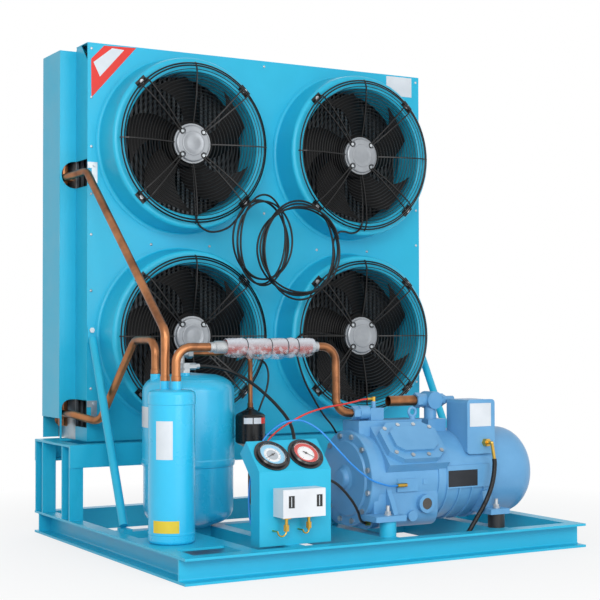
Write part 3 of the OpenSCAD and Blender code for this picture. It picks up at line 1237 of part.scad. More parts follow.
long_rails();
side_rails();
cross_members();
stand_posts();
stand_beams();
stand_side_ties();
panel_braces();
fan_panel();
fan_collars();
shroud_walls();
shroud_dividers();
fin_coil();
coil_end_plates();
header_pipework();
header_covers();
pipe_brackets();
fan_guard_1();
fan_guard_2();
fan_guard_3();
fan_guard_4();
fan_motors();
impeller_1();
impeller_2();
impeller_3();
impeller_4();
crankcase();
motor_housing();
bearing_cover();
cylinder_heads();
terminal_box();
terminal_box_lid();
suction_valve();
suction_stub();
discharge_valve();
oil_sight_glass();
lifting_eye();
compressor_mounts();
compressor_bolts();
oil_separator();
receiver();
receiver_valves();
filter_drier();
liquid_line();
hot_gas_pipe();
condensate_pipe();
discharge_pipe();
vibration_absorber();
console();
gauge_cases();
gauge_lenses();
needle_low();
needle_high();
pressure_control();
pressure_connectors();
casing_screws();
cable_glands();
fan_cables();
fan_cable_coils();
gauge_hoses();
compressor_cables();
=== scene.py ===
import math

import bpy
import numpy as np
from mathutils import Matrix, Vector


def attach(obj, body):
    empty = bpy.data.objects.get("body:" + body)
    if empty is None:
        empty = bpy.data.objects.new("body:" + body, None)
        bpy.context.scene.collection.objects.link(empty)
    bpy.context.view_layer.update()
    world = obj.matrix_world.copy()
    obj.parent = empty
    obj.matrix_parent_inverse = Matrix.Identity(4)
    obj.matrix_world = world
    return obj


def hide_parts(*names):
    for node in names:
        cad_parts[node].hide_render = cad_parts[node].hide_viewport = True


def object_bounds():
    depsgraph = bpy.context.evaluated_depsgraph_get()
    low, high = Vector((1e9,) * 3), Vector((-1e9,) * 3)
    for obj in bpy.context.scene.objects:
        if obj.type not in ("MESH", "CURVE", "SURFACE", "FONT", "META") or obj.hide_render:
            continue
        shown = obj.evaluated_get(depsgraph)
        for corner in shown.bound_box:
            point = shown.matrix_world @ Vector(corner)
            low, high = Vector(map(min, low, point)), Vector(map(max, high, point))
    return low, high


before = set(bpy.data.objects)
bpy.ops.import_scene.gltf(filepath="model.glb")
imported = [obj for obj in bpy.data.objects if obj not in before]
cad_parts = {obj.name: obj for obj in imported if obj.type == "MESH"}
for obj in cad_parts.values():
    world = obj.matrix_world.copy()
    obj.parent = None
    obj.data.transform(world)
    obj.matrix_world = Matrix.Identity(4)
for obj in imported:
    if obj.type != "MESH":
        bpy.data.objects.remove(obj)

cad_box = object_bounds()


# The camera stands in front of the left corner of the base, a little below the middle of the
# unit. Its place, turn and lens were fitted to the rails, the casing and the four fans.
CAMERA_PLACE = (-2.0001, -3.4618, 0.5755)
CAMERA_TURN = (91.427, 0.086, -29.783)
LENS_MM = 83.83
SENSOR_MM = 36
CLIP_END = 200
camera_data = bpy.data.cameras.new("camera")
camera_data.lens = LENS_MM
camera_data.sensor_width = SENSOR_MM
camera_data.clip_end = CLIP_END
camera = bpy.data.objects.new("camera", camera_data)
camera.location = CAMERA_PLACE
camera.rotation_euler = [math.radians(a) for a in CAMERA_TURN]
bpy.context.collection.objects.link(camera)
bpy.context.scene.camera = camera
bpy.context.scene.view_settings.view_transform = "Standard"


# The floor is a pale sheet that turns to plain white away from the unit, and the world is white
# where the camera, a gloss or a glass sees it, so only the unit's own soft shadow shows.
FLOOR_HALF = 40.0
FLOOR_DROP = 0.0006
FADE_LENGTH = 1.7
WHITE_UNDER_UNIT = 0.68
WHITE_GAIN = 0.35
SOFT_STRENGTH = 0.55


def linear(hex_colour):
    """sRGB hex to linear: below 0.04045 divide by 12.92, else raise (c + 0.055) / 1.055 to 2.4."""
    c = np.array([int(hex_colour[i:i + 2], 16) / 255 for i in (1, 3, 5)])
    c = np.where(c <= 0.04045, c / 12.92, ((c + 0.055) / 1.055) ** 2.4)
    return (*c.tolist(), 1.0)


def add(tree, kind, values=None, **settings):
    """Adds a node, sets its properties, and gives each input a value or the output linked to it."""
    node = tree.nodes.new(kind)
    for name, value in settings.items():
        setattr(node, name, value)
    for name, value in (values or {}).items():
        if isinstance(value, bpy.types.NodeSocket):
            tree.links.new(value, node.inputs[name])
        else:
            node.inputs[name].default_value = value
    return node


def new_finish(name):
    """A material with an empty node tree, and the tree itself."""
    finish = bpy.data.materials.new(name)
    finish.use_nodes = True
    finish.node_tree.nodes.clear()
    return finish, finish.node_tree


def seen_directly(tree):
    """1 for camera, glossy and transmission rays, otherwise 0: the largest of the three."""
    rays = add(tree, "ShaderNodeLightPath").outputs
    either = add(tree, "ShaderNodeMath", {0: rays["Is Camera Ray"], 1: rays["Is Glossy Ray"]},
                 operation="MAXIMUM")
    return add(tree, "ShaderNodeMath", {0: either.outputs[0], 1: rays["Is Transmission Ray"]},
               operation="MAXIMUM").outputs[0]


def pale_floor():
    """White card, mixed towards plain white by a first share plus a gain times distance squared."""
    finish, tree = new_finish("white_card_floor")
    place = add(tree, "ShaderNodeTexCoord").outputs["Object"]
    far = add(tree, "ShaderNodeVectorMath", {0: place}, operation="LENGTH").outputs["Value"]
    share = add(tree, "ShaderNodeMath", {0: far, 1: FADE_LENGTH}, operation="DIVIDE")
    square = add(tree, "ShaderNodeMath", {0: share.outputs[0], 1: 2.0}, operation="POWER")
    fade = add(tree, "ShaderNodeMath", {0: square.outputs[0], 1: WHITE_GAIN, 2: WHITE_UNDER_UNIT},
               operation="MULTIPLY_ADD", use_clamp=True)
    amount = add(tree, "ShaderNodeMath", {0: fade.outputs[0], 1: seen_directly(tree)},
                 operation="MULTIPLY")
    card = add(tree, "ShaderNodeBsdfDiffuse", {"Color": linear("#f2f3f4")})
    white = add(tree, "ShaderNodeEmission", {"Color": (1, 1, 1, 1), "Strength": 1.0})
    mixed = add(tree, "ShaderNodeMixShader",
                {0: amount.outputs[0], 1: card.outputs[0], 2: white.outputs[0]})
    add(tree, "ShaderNodeOutputMaterial", {"Surface": mixed.outputs[0]})
    return finish


floor_mesh = bpy.data.meshes.new("floor")
sheet_corners = ((-1, -1), (1, -1), (1, 1), (-1, 1))
floor_mesh.from_pydata([(x * FLOOR_HALF, y * FLOOR_HALF, 0) for x, y in sheet_corners], [], [(0, 1, 2, 3)])
floor_mesh.materials.append(pale_floor())
floor = bpy.data.objects.new("floor", floor_mesh)
floor.location.z = -FLOOR_DROP
bpy.context.collection.objects.link(floor)

world = bpy.data.worlds.new("studio")
bpy.context.scene.world = world
world.use_nodes = True
sky = world.node_tree
sky.nodes.clear()
soft = add(sky, "ShaderNodeBackground", {"Color": linear("#f1f3f5"), "Strength": SOFT_STRENGTH})
plain = add(sky, "ShaderNodeBackground", {"Color": (1, 1, 1, 1), "Strength": 1.0})
both = add(sky, "ShaderNodeMixShader",
           {0: seen_directly(sky), 1: soft.outputs[0], 2: plain.outputs[0]})
add(sky, "ShaderNodeOutputWorld", {"Surface": both.outputs[0]})


# Three soft boxes light the unit: a large one over its left front, a weaker one in front of it,
# and one behind that keeps the back of the coil from going dark.
def soft_box(name, place, aim, size, power):
    """A square area light at a place, turned so that its back points away from the aim."""
    lamp = bpy.data.lights.new(name, "AREA")
    lamp.size = size
    lamp.energy = power
    box = bpy.data.objects.new(name, lamp)
    away = np.array(place) - np.array(aim)
    flat = math.hypot(away[0], away[1])
    box.location = place
    box.rotation_euler = (math.atan2(flat, away[2]), 0, math.atan2(away[1], away[0]) + math.pi / 2)
    bpy.context.collection.objects.link(box)


soft_box("key", place=(-2.4, -3.7, 2.2), aim=(0.1, 0.1, 0.5), size=2.2, power=92)
soft_box("fill", place=(0.2, -4.2, 1.3), aim=(0.0, 0.0, 0.4), size=2.4, power=52)
soft_box("back", place=(0.6, 3.4, 2.6), aim=(0.0, 0.4, 0.7), size=2.6, power=40)


# Fan leads: round black rubber cables, 6 mm thick, that come out of the motors behind their
# caps. The upper two are wound up in hanks of wandering oval loops that hang in front of the
# panel, with their bare ends inside. The lower two run down the panel to its foot.
FAN_LEAD_R = 0.003
HANK_TURNS = 4
POINTS_A_TURN = 24
TURN_FORWARD = 6.9
WANDER, WANDER_RATE = 12, 130
LEAN_RATE = 97
HANK_CUTS = 4
HANK_SIDES = 12
UP = np.array([0.0, 0.0, 1.0])
Y_AXIS = np.array([0.0, 1.0, 0.0])
SKEW = np.array([0.6, 0.64, 0.48])
LEAD_1 = [(385, 778, 1076), (386, 773, 1050), (386, 766, 1010), (387, 762, 960), (390, 760, 918),
          (404, 760, 892), (432, 759, 878), (464, 759, 880), (494, 758, 892), (514, 756, 910)]
LEAD_2 = [(967, 778, 1076), (966, 773, 1050), (966, 766, 1010), (965, 762, 960), (960, 760, 918),
          (944, 760, 896), (918, 757, 890), (889, 747, 893), (860, 735, 888)]
LEAD_3 = [(443, 778, 560), (470, 773, 550), (510, 768, 536), (556, 762, 520), (600, 760, 504),
          (622, 760, 484), (627, 756, 452), (617, 750, 412), (598, 748, 370), (584, 752, 330),
          (576, 758, 300), (574, 763, 274)]
LEAD_4 = [(909, 778, 572), (880, 774, 573), (840, 768, 577), (796, 763, 581), (756, 760, 580),
          (730, 760, 566), (722, 758, 545), (728, 754, 500), (748, 752, 440), (778, 750, 385),
          (812, 750, 335), (846, 755, 300), (868, 762, 274)]
corner = np.array(cad_box[0])


def placed(points_mm):
    """Millimetres from the front left corner of the base to metres in the unit's frame."""
    return corner + np.asarray(points_mm, float) / 1000


def smooth(points, steps=8):
    """Catmull-Rom: cubics whose slope at a point is half the step between the points beside it."""
    p = np.vstack([2 * points[0] - points[1], points, 2 * points[-1] - points[-2]])
    t = np.linspace(0, 1, steps, endpoint=False)[None, :, None]
    a, b, c, d = (p[i:len(p) - 3 + i][:, None, :] for i in range(4))
    curve = 0.5 * (2 * b + (c - a) * t + (2 * a - 5 * b + 4 * c - d) * t ** 2
                   + (3 * b - a - 3 * c + d) * t ** 3)
    return np.vstack([curve.reshape(-1, 3), points[-1:]])


def travelled(path):
    """The length of a path up to each of its points: the running sum of its steps."""
    return np.concatenate([[0], np.cumsum(np.linalg.norm(np.diff(path, axis=0), axis=1))])


def hank_path(centre, half_w, half_h, start, lean):
    """An oval whose half sizes wander with a sine, and which leans and steps forward in its turns."""
    t = np.arange(HANK_TURNS * POINTS_A_TURN + 1) / POINTS_A_TURN
    a = np.radians(start - 360 * t)
    wander = WANDER * np.sin(np.radians(WANDER_RATE * t))
    x, z = (half_w + wander) * np.cos(a), (half_h - wander) * np.sin(a)
    tilt = np.radians(lean * np.sin(np.radians(LEAN_RATE * t)))
    return np.stack([centre[0] + x * np.cos(tilt) - z * np.sin(tilt), centre[1] - TURN_FORWARD * t,
                     centre[2] + x * np.sin(tilt) + z * np.cos(tilt)], -1)


def piece_from(name, points, faces, finish, sharp=40):
    """A mesh piece at the origin that rides on the unit, sharp where faces turn by more degrees."""
    mesh = bpy.data.meshes.new(name)
    mesh.from_pydata(points, [], faces)
    mesh.materials.append(finish)
    mesh.polygons.foreach_set("use_smooth", np.ones(len(mesh.polygons), bool))
    mesh.set_sharp_from_angle(angle=math.radians(sharp))
    mesh.update()
    piece = bpy.data.objects.new(name, mesh)
    bpy.context.collection.objects.link(piece)
    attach(piece, "unit")
    return piece


def quads(rows, columns, wrap):
    """Faces of a grid of points: each joins a point to the next in its row and to the row after."""
    last = columns if wrap else columns - 1
    r, c = np.meshgrid(np.arange(rows - 1), np.arange(last), indexing="ij")
    n = (c + 1) % columns
    here, after = r * columns, (r + 1) * columns
    return np.stack([here + c, here + n, after + n, after + c], -1).reshape(-1, 4)


def end_caps(rows, sides):
    """The two flat faces that close a tube: its first ring turned round, and its last ring."""
    return [list(range(sides))[::-1], list(range((rows - 1) * sides, rows * sides))]


def tube(name, path, radius, finish, sides=16, first=SKEW):
    """A closed tube: round each point of the path, a circle square to the path's direction there.

    Each circle starts on the side that the first direction points to.
    """
    t = np.gradient(path, axis=0)
    t /= np.linalg.norm(t, axis=1)[:, None]
    n = first - t * (t @ first)[:, None]
    n /= np.linalg.norm(n, axis=1)[:, None]
    b = np.cross(t, n)
    a = np.linspace(0, 2 * np.pi, sides, endpoint=False)[None, :, None]
    r = np.broadcast_to(radius, len(path))[:, None, None]
    grid = path[:, None, :] + r * (n[:, None, :] * np.cos(a) + b[:, None, :] * np.sin(a))
    faces = quads(len(path), sides, True).tolist() + end_caps(len(path), sides)
    return piece_from(name, grid.reshape(-1, 3), faces, finish)


CLOUDS = {"Scale": 9.0, "Detail": 5.0, "Roughness": 0.6}
GLOSS_SPREAD = (0.82, 1.18)
RELIEF_STRENGTH = 0.35
COAT_ROUGH = 0.12


def surfaced(name, tone, deep, rough, grain_mm, relief_mm, metallic=0.0, spread=0.15, coat=0.0,
             specular=0.5):
    """Two tones and a range of gloss mixed by clouds about 110 mm across, and a grain in the relief.

    The tones part around a noise of a half, by the spread on each side. The roughness is the
    one given times a share between the two of the gloss spread.
    """
    finish, tree = new_finish(name)
    place = add(tree, "ShaderNodeTexCoord").outputs["Object"]
    cloud = add(tree, "ShaderNodeTexNoise", {"Vector": place, **CLOUDS}).outputs["Fac"]
    tones = add(tree, "ShaderNodeValToRGB", {"Fac": cloud})
    low, high = tones.color_ramp.elements
    low.position, high.position = 0.5 - spread, 0.5 + spread
    low.color, high.color = linear(deep), linear(tone)
    grain = add(tree, "ShaderNodeTexNoise",
                {"Vector": place, "Scale": 1000.0 / grain_mm, "Detail": 2.0})
    gloss = add(tree, "ShaderNodeMapRange", {
        "Value": cloud, "From Min": 0.3, "From Max": 0.7, "To Min": rough * GLOSS_SPREAD[0],
        "To Max": min(1.0, rough * GLOSS_SPREAD[1])})
    relief = add(tree, "ShaderNodeBump", {
        "Height": grain.outputs["Fac"], "Strength": RELIEF_STRENGTH, "Distance": relief_mm / 1000})
    shader = add(tree, "ShaderNodeBsdfPrincipled", {
        "Base Color": tones.outputs["Color"], "Metallic": metallic,
        "Roughness": gloss.outputs["Result"], "Normal": relief.outputs["Normal"],
        "Coat Weight": coat, "Coat Roughness": COAT_ROUGH, "Specular IOR Level": specular})
    add(tree, "ShaderNodeOutputMaterial", {"Surface": shader.outputs[0]})
    return finish


def free_cord(name, path, radius, finish, nodes, first=SKEW, sides=16):
    """A cord as a tube along its path; the CAD nodes that it replaces are hidden."""
    piece = tube(name, path, radius, finish, sides=sides, first=first)
    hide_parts(*nodes)


# Black rubber: near black with a soft sheen, so that the cables read by their highlights
rubber_sheath = surfaced("rubber_sheath_extruded", "#0e0e10", "#08080a", rough=0.36, grain_mm=0.8,
                         relief_mm=0.04, specular=0.35)
hank_1 = hank_path((600, 755, 855), half_w=84, half_h=126, start=140, lean=9)
hank_2 = hank_path((707, 719, 829), half_w=128, half_h=138, start=12, lean=7)
for number, lead, hank in ((1, LEAD_1, hank_1), (2, LEAD_2, hank_2)):
    free_cord(f"fan_lead_{number}", smooth(placed(np.vstack([lead, hank])), HANK_CUTS), FAN_LEAD_R,
              rubber_sheath, ["fan_cables", "fan_cable_coils"],
              first=Y_AXIS, sides=HANK_SIDES)
for number, lead in ((3, LEAD_3), (4, LEAD_4)):
    free_cord(f"fan_lead_{number}", smooth(placed(lead)), FAN_LEAD_R, rubber_sheath, ["fan_cables"],
              first=Y_AXIS)


# Gauge hoses: thin extruded nylon pressure hoses in red and blue, and a thicker black rubber one
# from the receiver's valve, each screwed on at both ends.
COLOUR_HOSE_R = 0.0024
BLACK_HOSE_R = 0.0044
RED_ROUTE = [(283, 132.2, 250.7), (283, 138, 245), (285, 152, 238), (290, 168, 250),
             (298, 176, 280), (314, 178, 312), (346, 175, 339), (384, 173, 359), (427, 175, 376),
             (482, 182, 388), (540, 192, 394), (586, 203, 400), (612, 211, 404), (629, 212, 405)]
BLUE_ROUTE = [(240, 116, 96), (238, 128, 110), (238, 140, 150), (244, 146, 210), (262, 150, 270),
              (290, 152, 320), (330, 151, 350), (364, 147, 360), (396, 138, 357), (428, 116, 334),
              (458, 92, 294), (496, 76, 250), (544, 70, 212), (588, 73, 195), (618, 81, 188),
              (640, 85, 188)]
BLACK_ROUTE = [(253.2, 455, 492), (268, 454, 492), (296, 450, 489), (330, 436, 480),
               (362, 402, 460), (386, 352, 428), (402, 290, 388), (410, 238, 346), (406, 208, 300),
               (400, 196, 258), (392, 180, 228), (383, 157, 222), (378, 140, 242.5),
               (378, 132.2, 250.7)]

# Coloured nylon: strong even colour with a waxy gloss
red_nylon = surfaced("red_nylon_hose_extruded", "#d8392c", "#bb2a22", rough=0.34, grain_mm=0.6,
                     relief_mm=0.03)
blue_nylon = surfaced("blue_nylon_hose_extruded", "#2690e2", "#1876c6", rough=0.34, grain_mm=0.6,
                      relief_mm=0.03)
for name, route, radius, finish in (("red_hose", RED_ROUTE, COLOUR_HOSE_R, red_nylon),
                                    ("blue_hose", BLUE_ROUTE, COLOUR_HOSE_R, blue_nylon),
                                    ("black_hose", BLACK_ROUTE, BLACK_HOSE_R, rubber_sheath)):
    free_cord(name, smooth(placed(route)), radius, finish, ["gauge_hoses"])


# Compressor cables: the crankcase heater's rubber cable, and the ribbed conduit that is screwed
# to the terminal box and goes into the rail.
HEATER_R = 0.0035
CONDUIT_R = 0.0065
RIB_PITCH = 0.0036
RIB_DEPTH = 0.0006
CONDUIT_STEPS = 34
HEATER_ROUTE = [(432, 98, 212), (446, 97, 210), (464, 94, 200), (486, 91, 179), (508, 90, 153),
                (524, 92, 128), (536, 102, 109), (549, 113, 98), (565.7, 122, 92)]
CONDUIT_ROUTE = [(936, 65, 245), (936, 64, 228), (932, 64, 196), (922, 65, 162), (905, 68, 126),
                 (880, 70, 90), (854, 68, 58), (832, 60, 40), (812, 49, 32)]
free_cord("heater_cable", smooth(placed(HEATER_ROUTE)), HEATER_R, rubber_sheath,
          ["compressor_cables"])
conduit_path = smooth(placed(CONDUIT_ROUTE), CONDUIT_STEPS)
ribs = CONDUIT_R - RIB_DEPTH * (1 - np.cos(2 * np.pi * travelled(conduit_path) / RIB_PITCH)) / 2
free_cord("terminal_conduit", conduit_path, ribs, rubber_sheath, ["compressor_cables"])


# Base and stand: rolled steel channels welded together, and two tubes with flattened tabs that
# are bolted on as braces.
def dress(finish, *nodes):
    """Gives the finish to every material slot of the named nodes."""
    for node in nodes:
        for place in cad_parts[node].material_slots:
            place.material = finish


# Powder paint: even sky blue with a fine orange peel and a soft gloss
blue_paint = surfaced("powder_paint_sky_blue", "#28b6d9", "#22afd1", rough=0.36, grain_mm=2.2,
                      relief_mm=0.12, spread=0.3, specular=0.4)
dress(blue_paint, "long_rails", "side_rails", "cross_members", "stand_posts", "stand_beams",
      "stand_side_ties", "panel_braces")


# Casing: folded steel sheet in the same paint as the base, with a spun collar screwed on round
# each fan.
dress(blue_paint, "fan_panel", "fan_collars", "shroud_walls", "shroud_dividers", "header_covers")


# Coil: aluminium fins pressed onto copper tubes, between galvanised end plates with folded
# edges. The small zinc plated parts share the end plates' finish.
# Fins: grey metal with a low sheen, its colour painted darker as the shade that lies in the gaps behind
# the fans
fins = surfaced("aluminium_fins_painted_shade", "#6d7377", "#4f5458", rough=0.5, grain_mm=1.2,
                relief_mm=0.05, metallic=0.6)
# Zinc: patches that go from pale to mid grey
zinc = surfaced("galvanised_sheet_spangled", "#c6cbce", "#9aa1a5", rough=0.38, grain_mm=6.0,
                relief_mm=0.04, metallic=0.75, spread=0.08)
dress(fins, "fin_coil")
dress(zinc, "coil_end_plates", "pipe_brackets", "casing_screws", "compressor_bolts",
      "receiver_valves")


# Header pipework and suction connection: drawn copper tube. Headers and bends are brazed to the
# coil's own tubes, and the suction stub to its valve.
# Copper: warm brown metal, browner in patches where it was heated
copper_tube = surfaced("copper_tube_drawn", "#b07851", "#6b4733", rough=0.36, grain_mm=3.0,
                       relief_mm=0.04, metallic=1.0, spread=0.12)
dress(copper_tube, "header_pipework", "suction_stub")


# Fans: black coated steel wire guards that are screwed on, and moulded impellers round external
# rotor motors, whose pressed silver caps carry a shallow raised disc.
FANS = ((385, 1135), (967, 1135), (385, 572), (967, 572))
CAP_FACE = 766.4
DOME_R = 0.036
DOME_PROFILE = [(DOME_R, 0), (DOME_R - 0.001, 0.0014), (DOME_R * 0.86, 0.002),
                (DOME_R * 0.8, 0.0012), (DOME_R * 0.5, 0.0022), (0.0005, 0.0026)]


def turned(name, profile, place, finish, axis=UP, sides=64, capped=True):
    """A profile of radius and height turned round the axis through a place, both in metres."""
    profile = np.asarray(profile, float)
    axis = np.asarray(axis, float) / np.linalg.norm(axis)
    side = np.cross(axis, SKEW)
    side /= np.linalg.norm(side)
    other = np.cross(axis, side)
    a = np.linspace(0, 2 * np.pi, sides, endpoint=False)[None, :, None]
    r, h = profile[:, 0][:, None, None], profile[:, 1][:, None, None]
    grid = np.asarray(place) + axis * h + r * (side * np.cos(a) + other * np.sin(a))
    faces = quads(len(profile), sides, True).tolist()
    if capped:
        faces += end_caps(len(profile), sides)
    return piece_from(name, grid.reshape(-1, 3), faces, finish)


# Coated wire: deep black that glints along each ring
wire_coat = surfaced("black_powder_coat_wire", "#0c0c0d", "#070708", rough=0.34, grain_mm=1.0,
                     relief_mm=0.03, specular=0.4)
# Moulded plastic: flat black that keeps the blades quiet behind the guards
black_moulded = surfaced("black_plastic_moulded", "#0a0a0b", "#060607", rough=0.5, grain_mm=1.4,
                         relief_mm=0.06, specular=0.2)
# Silver enamel: bright grey with a half metallic sheen
silver_enamel = surfaced("silver_enamel_sprayed", "#a3a7ab", "#8b8f94", rough=0.32, grain_mm=2.0,
                         relief_mm=0.06, metallic=0.4)
dress(wire_coat, "fan_guard_1", "fan_guard_2", "fan_guard_3", "fan_guard_4")
dress(black_moulded, "impeller_1", "impeller_2", "impeller_3", "impeller_4")
dress(silver_enamel, "fan_motors")
for number, (x, z) in enumerate(FANS):
    turned(f"motor_dome_{number + 1}", DOME_PROFILE, placed((x, CAP_FACE, z)), silver_enamel,
           axis=(0, -1, 0))


# Compressor: iron castings bolted together and sprayed as one, on two painted steel spacers at
# the left and two rubber mounts at the right.
RUBBER_FROM_X = 0.1


def spacer_and_rubber():
    """Blue paint on the left spacers and black rubber on the right ones, told apart by X."""
    finish = surfaced("painted_spacer_and_rubber", "#28b6d9", "#22afd1", rough=0.4, grain_mm=2.0,
                      relief_mm=0.1)
    tree = finish.node_tree
    shader = tree.nodes["Principled BSDF"]
    tones = shader.inputs["Base Color"].links[0].from_socket
    place = add(tree, "ShaderNodeTexCoord").outputs["Object"]
    x = add(tree, "ShaderNodeSeparateXYZ", {0: place}).outputs["X"]
    right = add(tree, "ShaderNodeMath", {0: x, 1: RUBBER_FROM_X}, operation="GREATER_THAN")
    mixed = add(tree, "ShaderNodeMix", {"Factor": right.outputs[0]}, data_type="RGBA")
    tree.links.new(tones, mixed.inputs["A"])
    mixed.inputs["B"].default_value = linear("#1a1b1d")
    tree.links.new(mixed.outputs["Result"], shader.inputs["Base Color"])
    return finish


# Enamel on iron: blue grey, with the slow waves of a sand casting in its gloss
cast_enamel = surfaced("enamel_on_cast_iron", "#69a4d0", "#5795c3", rough=0.4, grain_mm=4.0,
                       relief_mm=0.5, spread=0.25, coat=0.1)
# Turned brass: yellow metal with clear highlights
brass_turned = surfaced("brass_turned", "#d9b45a", "#b88f3c", rough=0.3, grain_mm=1.5,
                        relief_mm=0.03, metallic=1.0)
# Sight glass: dark oil behind a hard gloss
sight_glass = surfaced("sight_glass_over_oil", "#3a3226", "#201b14", rough=0.08, grain_mm=8.0,
                       relief_mm=0.0, coat=1.0)
dress(cast_enamel, "crankcase", "motor_housing", "bearing_cover", "cylinder_heads", "terminal_box",
      "terminal_box_lid", "suction_valve", "discharge_valve", "lifting_eye")
dress(brass_turned, "pressure_connectors", "cable_glands")
dress(sight_glass, "oil_sight_glass")
dress(spacer_and_rubber(), "compressor_mounts")


# Vessels: rolled and welded steel shells that stand on cross members, the oil separator in
# front and the receiver behind it.
# Vessel paint: a little brighter and glossier than the casing's
vessel_paint = surfaced("powder_paint_vessels", "#2ec0ea", "#28b8e2", rough=0.3, grain_mm=2.6,
                        relief_mm=0.12, spread=0.3, coat=0.2)
dress(vessel_paint, "oil_separator", "receiver")


# Filter drier: a drawn steel shell with pressed ends, enamelled all over and brazed into the
# liquid line, which comes in at its top and leaves below.
# Black enamel: smooth and glossy, with one long highlight down the shell
dress(surfaced("black_enamel_drier", "#0d0e10", "#08090a", rough=0.3, grain_mm=1.6, relief_mm=0.04,
               specular=0.4), "filter_drier")


# Rigid pipes: drawn copper tube, bent cold to one radius and brazed at the fittings. Routes
# are corner points, and each corner is rounded by the bend.
GAS_R = 0.011
LIQUID_R = 0.00635
GAS_BEND = 40
LIQUID_BEND_1 = 26
LIQUID_BEND_2 = 52
PIPE_SIDES = 32
HOT_GAS = [(62, 971.1, 1036), (62, 943.4, 1036), (81.4, 836.4, 1043), (74, 276, 585),
           (74, 276, 461)]
CONDENSATE = [(63, 971.1, 347.7), (63, 884.4, 347.7), (108.4, 800.4, 329.7), (151, 650, 562),
              (151, 510, 562), (151, 510, 472)]
DISCHARGE_1 = [(87, 239, 461), (87, 239, 545), (176, 234.41, 545)]
DISCHARGE_2 = [(480, 218.73, 545), (533, 216, 545), (533, 212, 370), (581, 212, 370)]
LIQUID_1 = [(253, 500, 525), (334, 500, 525), (384, 410, 525), (384, 410, 381)]
LIQUID_2 = [(384, 410, 268), (384, 410, 97), (540, 410, 97)]


def bent(corners, bend, steps=14):
    """Straight runs joined by arcs that start bend times the tangent of half the turn before."""
    p = np.asarray(corners, float)
    path = [p[:1]]
    for a, b, c in zip(p[:-2], p[1:-1], p[2:]):
        u, v = (b - a) / np.linalg.norm(b - a), (c - b) / np.linalg.norm(c - b)
        turn = math.acos(u @ v)
        middle = b + (v - u) / np.linalg.norm(v - u) * bend / math.cos(turn / 2)
        spoke = b - u * bend * math.tan(turn / 2) - middle
        angle = np.linspace(0, turn, steps)[:, None]
        path.append(middle + spoke * np.cos(angle) + u * bend * np.sin(angle))
    path.append(p[-1:])
    return np.vstack(path)


for name, node, corners, radius, bend in (
        ("hot_gas_pipe_tube", "hot_gas_pipe", HOT_GAS, GAS_R, GAS_BEND),
        ("condensate_pipe_tube", "condensate_pipe", CONDENSATE, GAS_R, GAS_BEND),
        ("discharge_pipe_1_tube", "discharge_pipe", DISCHARGE_1, GAS_R, GAS_BEND),
        ("discharge_pipe_2_tube", "discharge_pipe", DISCHARGE_2, GAS_R, GAS_BEND),
        ("liquid_line_1_tube", "liquid_line", LIQUID_1, LIQUID_R, LIQUID_BEND_1),
        ("liquid_line_2_tube", "liquid_line", LIQUID_2, LIQUID_R, LIQUID_BEND_2)):
    pipe = tube(name, placed(bent(corners, bend)), radius, copper_tube, sides=PIPE_SIDES)
    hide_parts(node)


# Brazed sockets: a short wider copper sleeve where a pipe enters a vessel, the drier or another
# pipe, open at both ends because the pipe fills it.
SLEEVE_WALL = 0.0014
SLEEVE_LENGTH = 0.0126
SLEEVE_EDGE = 0.0006
SOCKETS = (((74, 276, 461), GAS_R, UP), ((87, 239, 461), GAS_R, UP), ((151, 510, 472), GAS_R, UP),
           ((483, 410, 97), LIQUID_R, (1, 0, 0)), ((384, 410, 381), LIQUID_R, UP),
           ((384, 410, 256), LIQUID_R, UP))
for number, (place, inner, axis) in enumerate(SOCKETS):
    outer = inner + SLEEVE_WALL
    sleeve = [(inner, 0), (outer, SLEEVE_EDGE), (outer, SLEEVE_LENGTH - SLEEVE_EDGE),
              (inner, SLEEVE_LENGTH)]
    turned(f"pipe_socket_{number}", sleeve, placed(place), copper_tube, axis=axis,
           sides=PIPE_SIDES, capped=False)


# Vibration absorber: a corrugated hose under a wire braid, with a cuff brazed on at each end.
# Red foam and clear bubble film are wrapped round it for protection and held by black ties.
ABSORBER_A = placed((176, 234.41, 545))
ABSORBER_B = placed((480, 218.73, 545))
ABSORBER_LEN = float(np.linalg.norm(ABSORBER_B - ABSORBER_A))
absorber_axis = (ABSORBER_B - ABSORBER_A) / ABSORBER_LEN
CUFF_R, BRAID_R = 0.013, 0.016
CUFF_LEN, CUFF_STEP = 0.012, 0.003
BRAID_RINGS = (0.028, 0.05)
RIGHT_STEP = 0.004
FOAM_R, FOAM_MIDDLE_R = 0.0188, 0.0192
FOAM_EDGE = 0.003
BRAID_SLANT = 0.9
BRAID_WAVES = 90.0
foam_from, foam_to = 0.045, ABSORBER_LEN - 0.02


def braided_steel():
    """Wire braid: the larger of two sets of waves that slant either way, 3.5 mm apart.

    The real strands are finer: they are drawn this coarse so that they show.
    """
    finish = surfaced("steel_wire_braid", "#c9ccce", "#8d9194", rough=0.32, grain_mm=1.0,
                      relief_mm=0.1, metallic=0.9)
    tree = finish.node_tree
    place = add(tree, "ShaderNodeTexCoord").outputs["Object"]
    strands = []
    for slant in (-BRAID_SLANT, BRAID_SLANT):
        leaning = add(tree, "ShaderNodeMapping", {"Vector": place, "Rotation": (0, slant, 0)})
        strands.append(add(tree, "ShaderNodeTexWave",
                           {"Vector": leaning.outputs[0], "Scale": BRAID_WAVES}).outputs["Fac"])
    crossed = add(tree, "ShaderNodeMath", dict(enumerate(strands)), operation="MAXIMUM")
    relief = add(tree, "ShaderNodeBump",
                 {"Height": crossed.outputs[0], "Strength": 0.8, "Distance": 0.0008})
    tree.links.new(relief.outputs["Normal"], tree.nodes["Principled BSDF"].inputs["Normal"])
    return finish


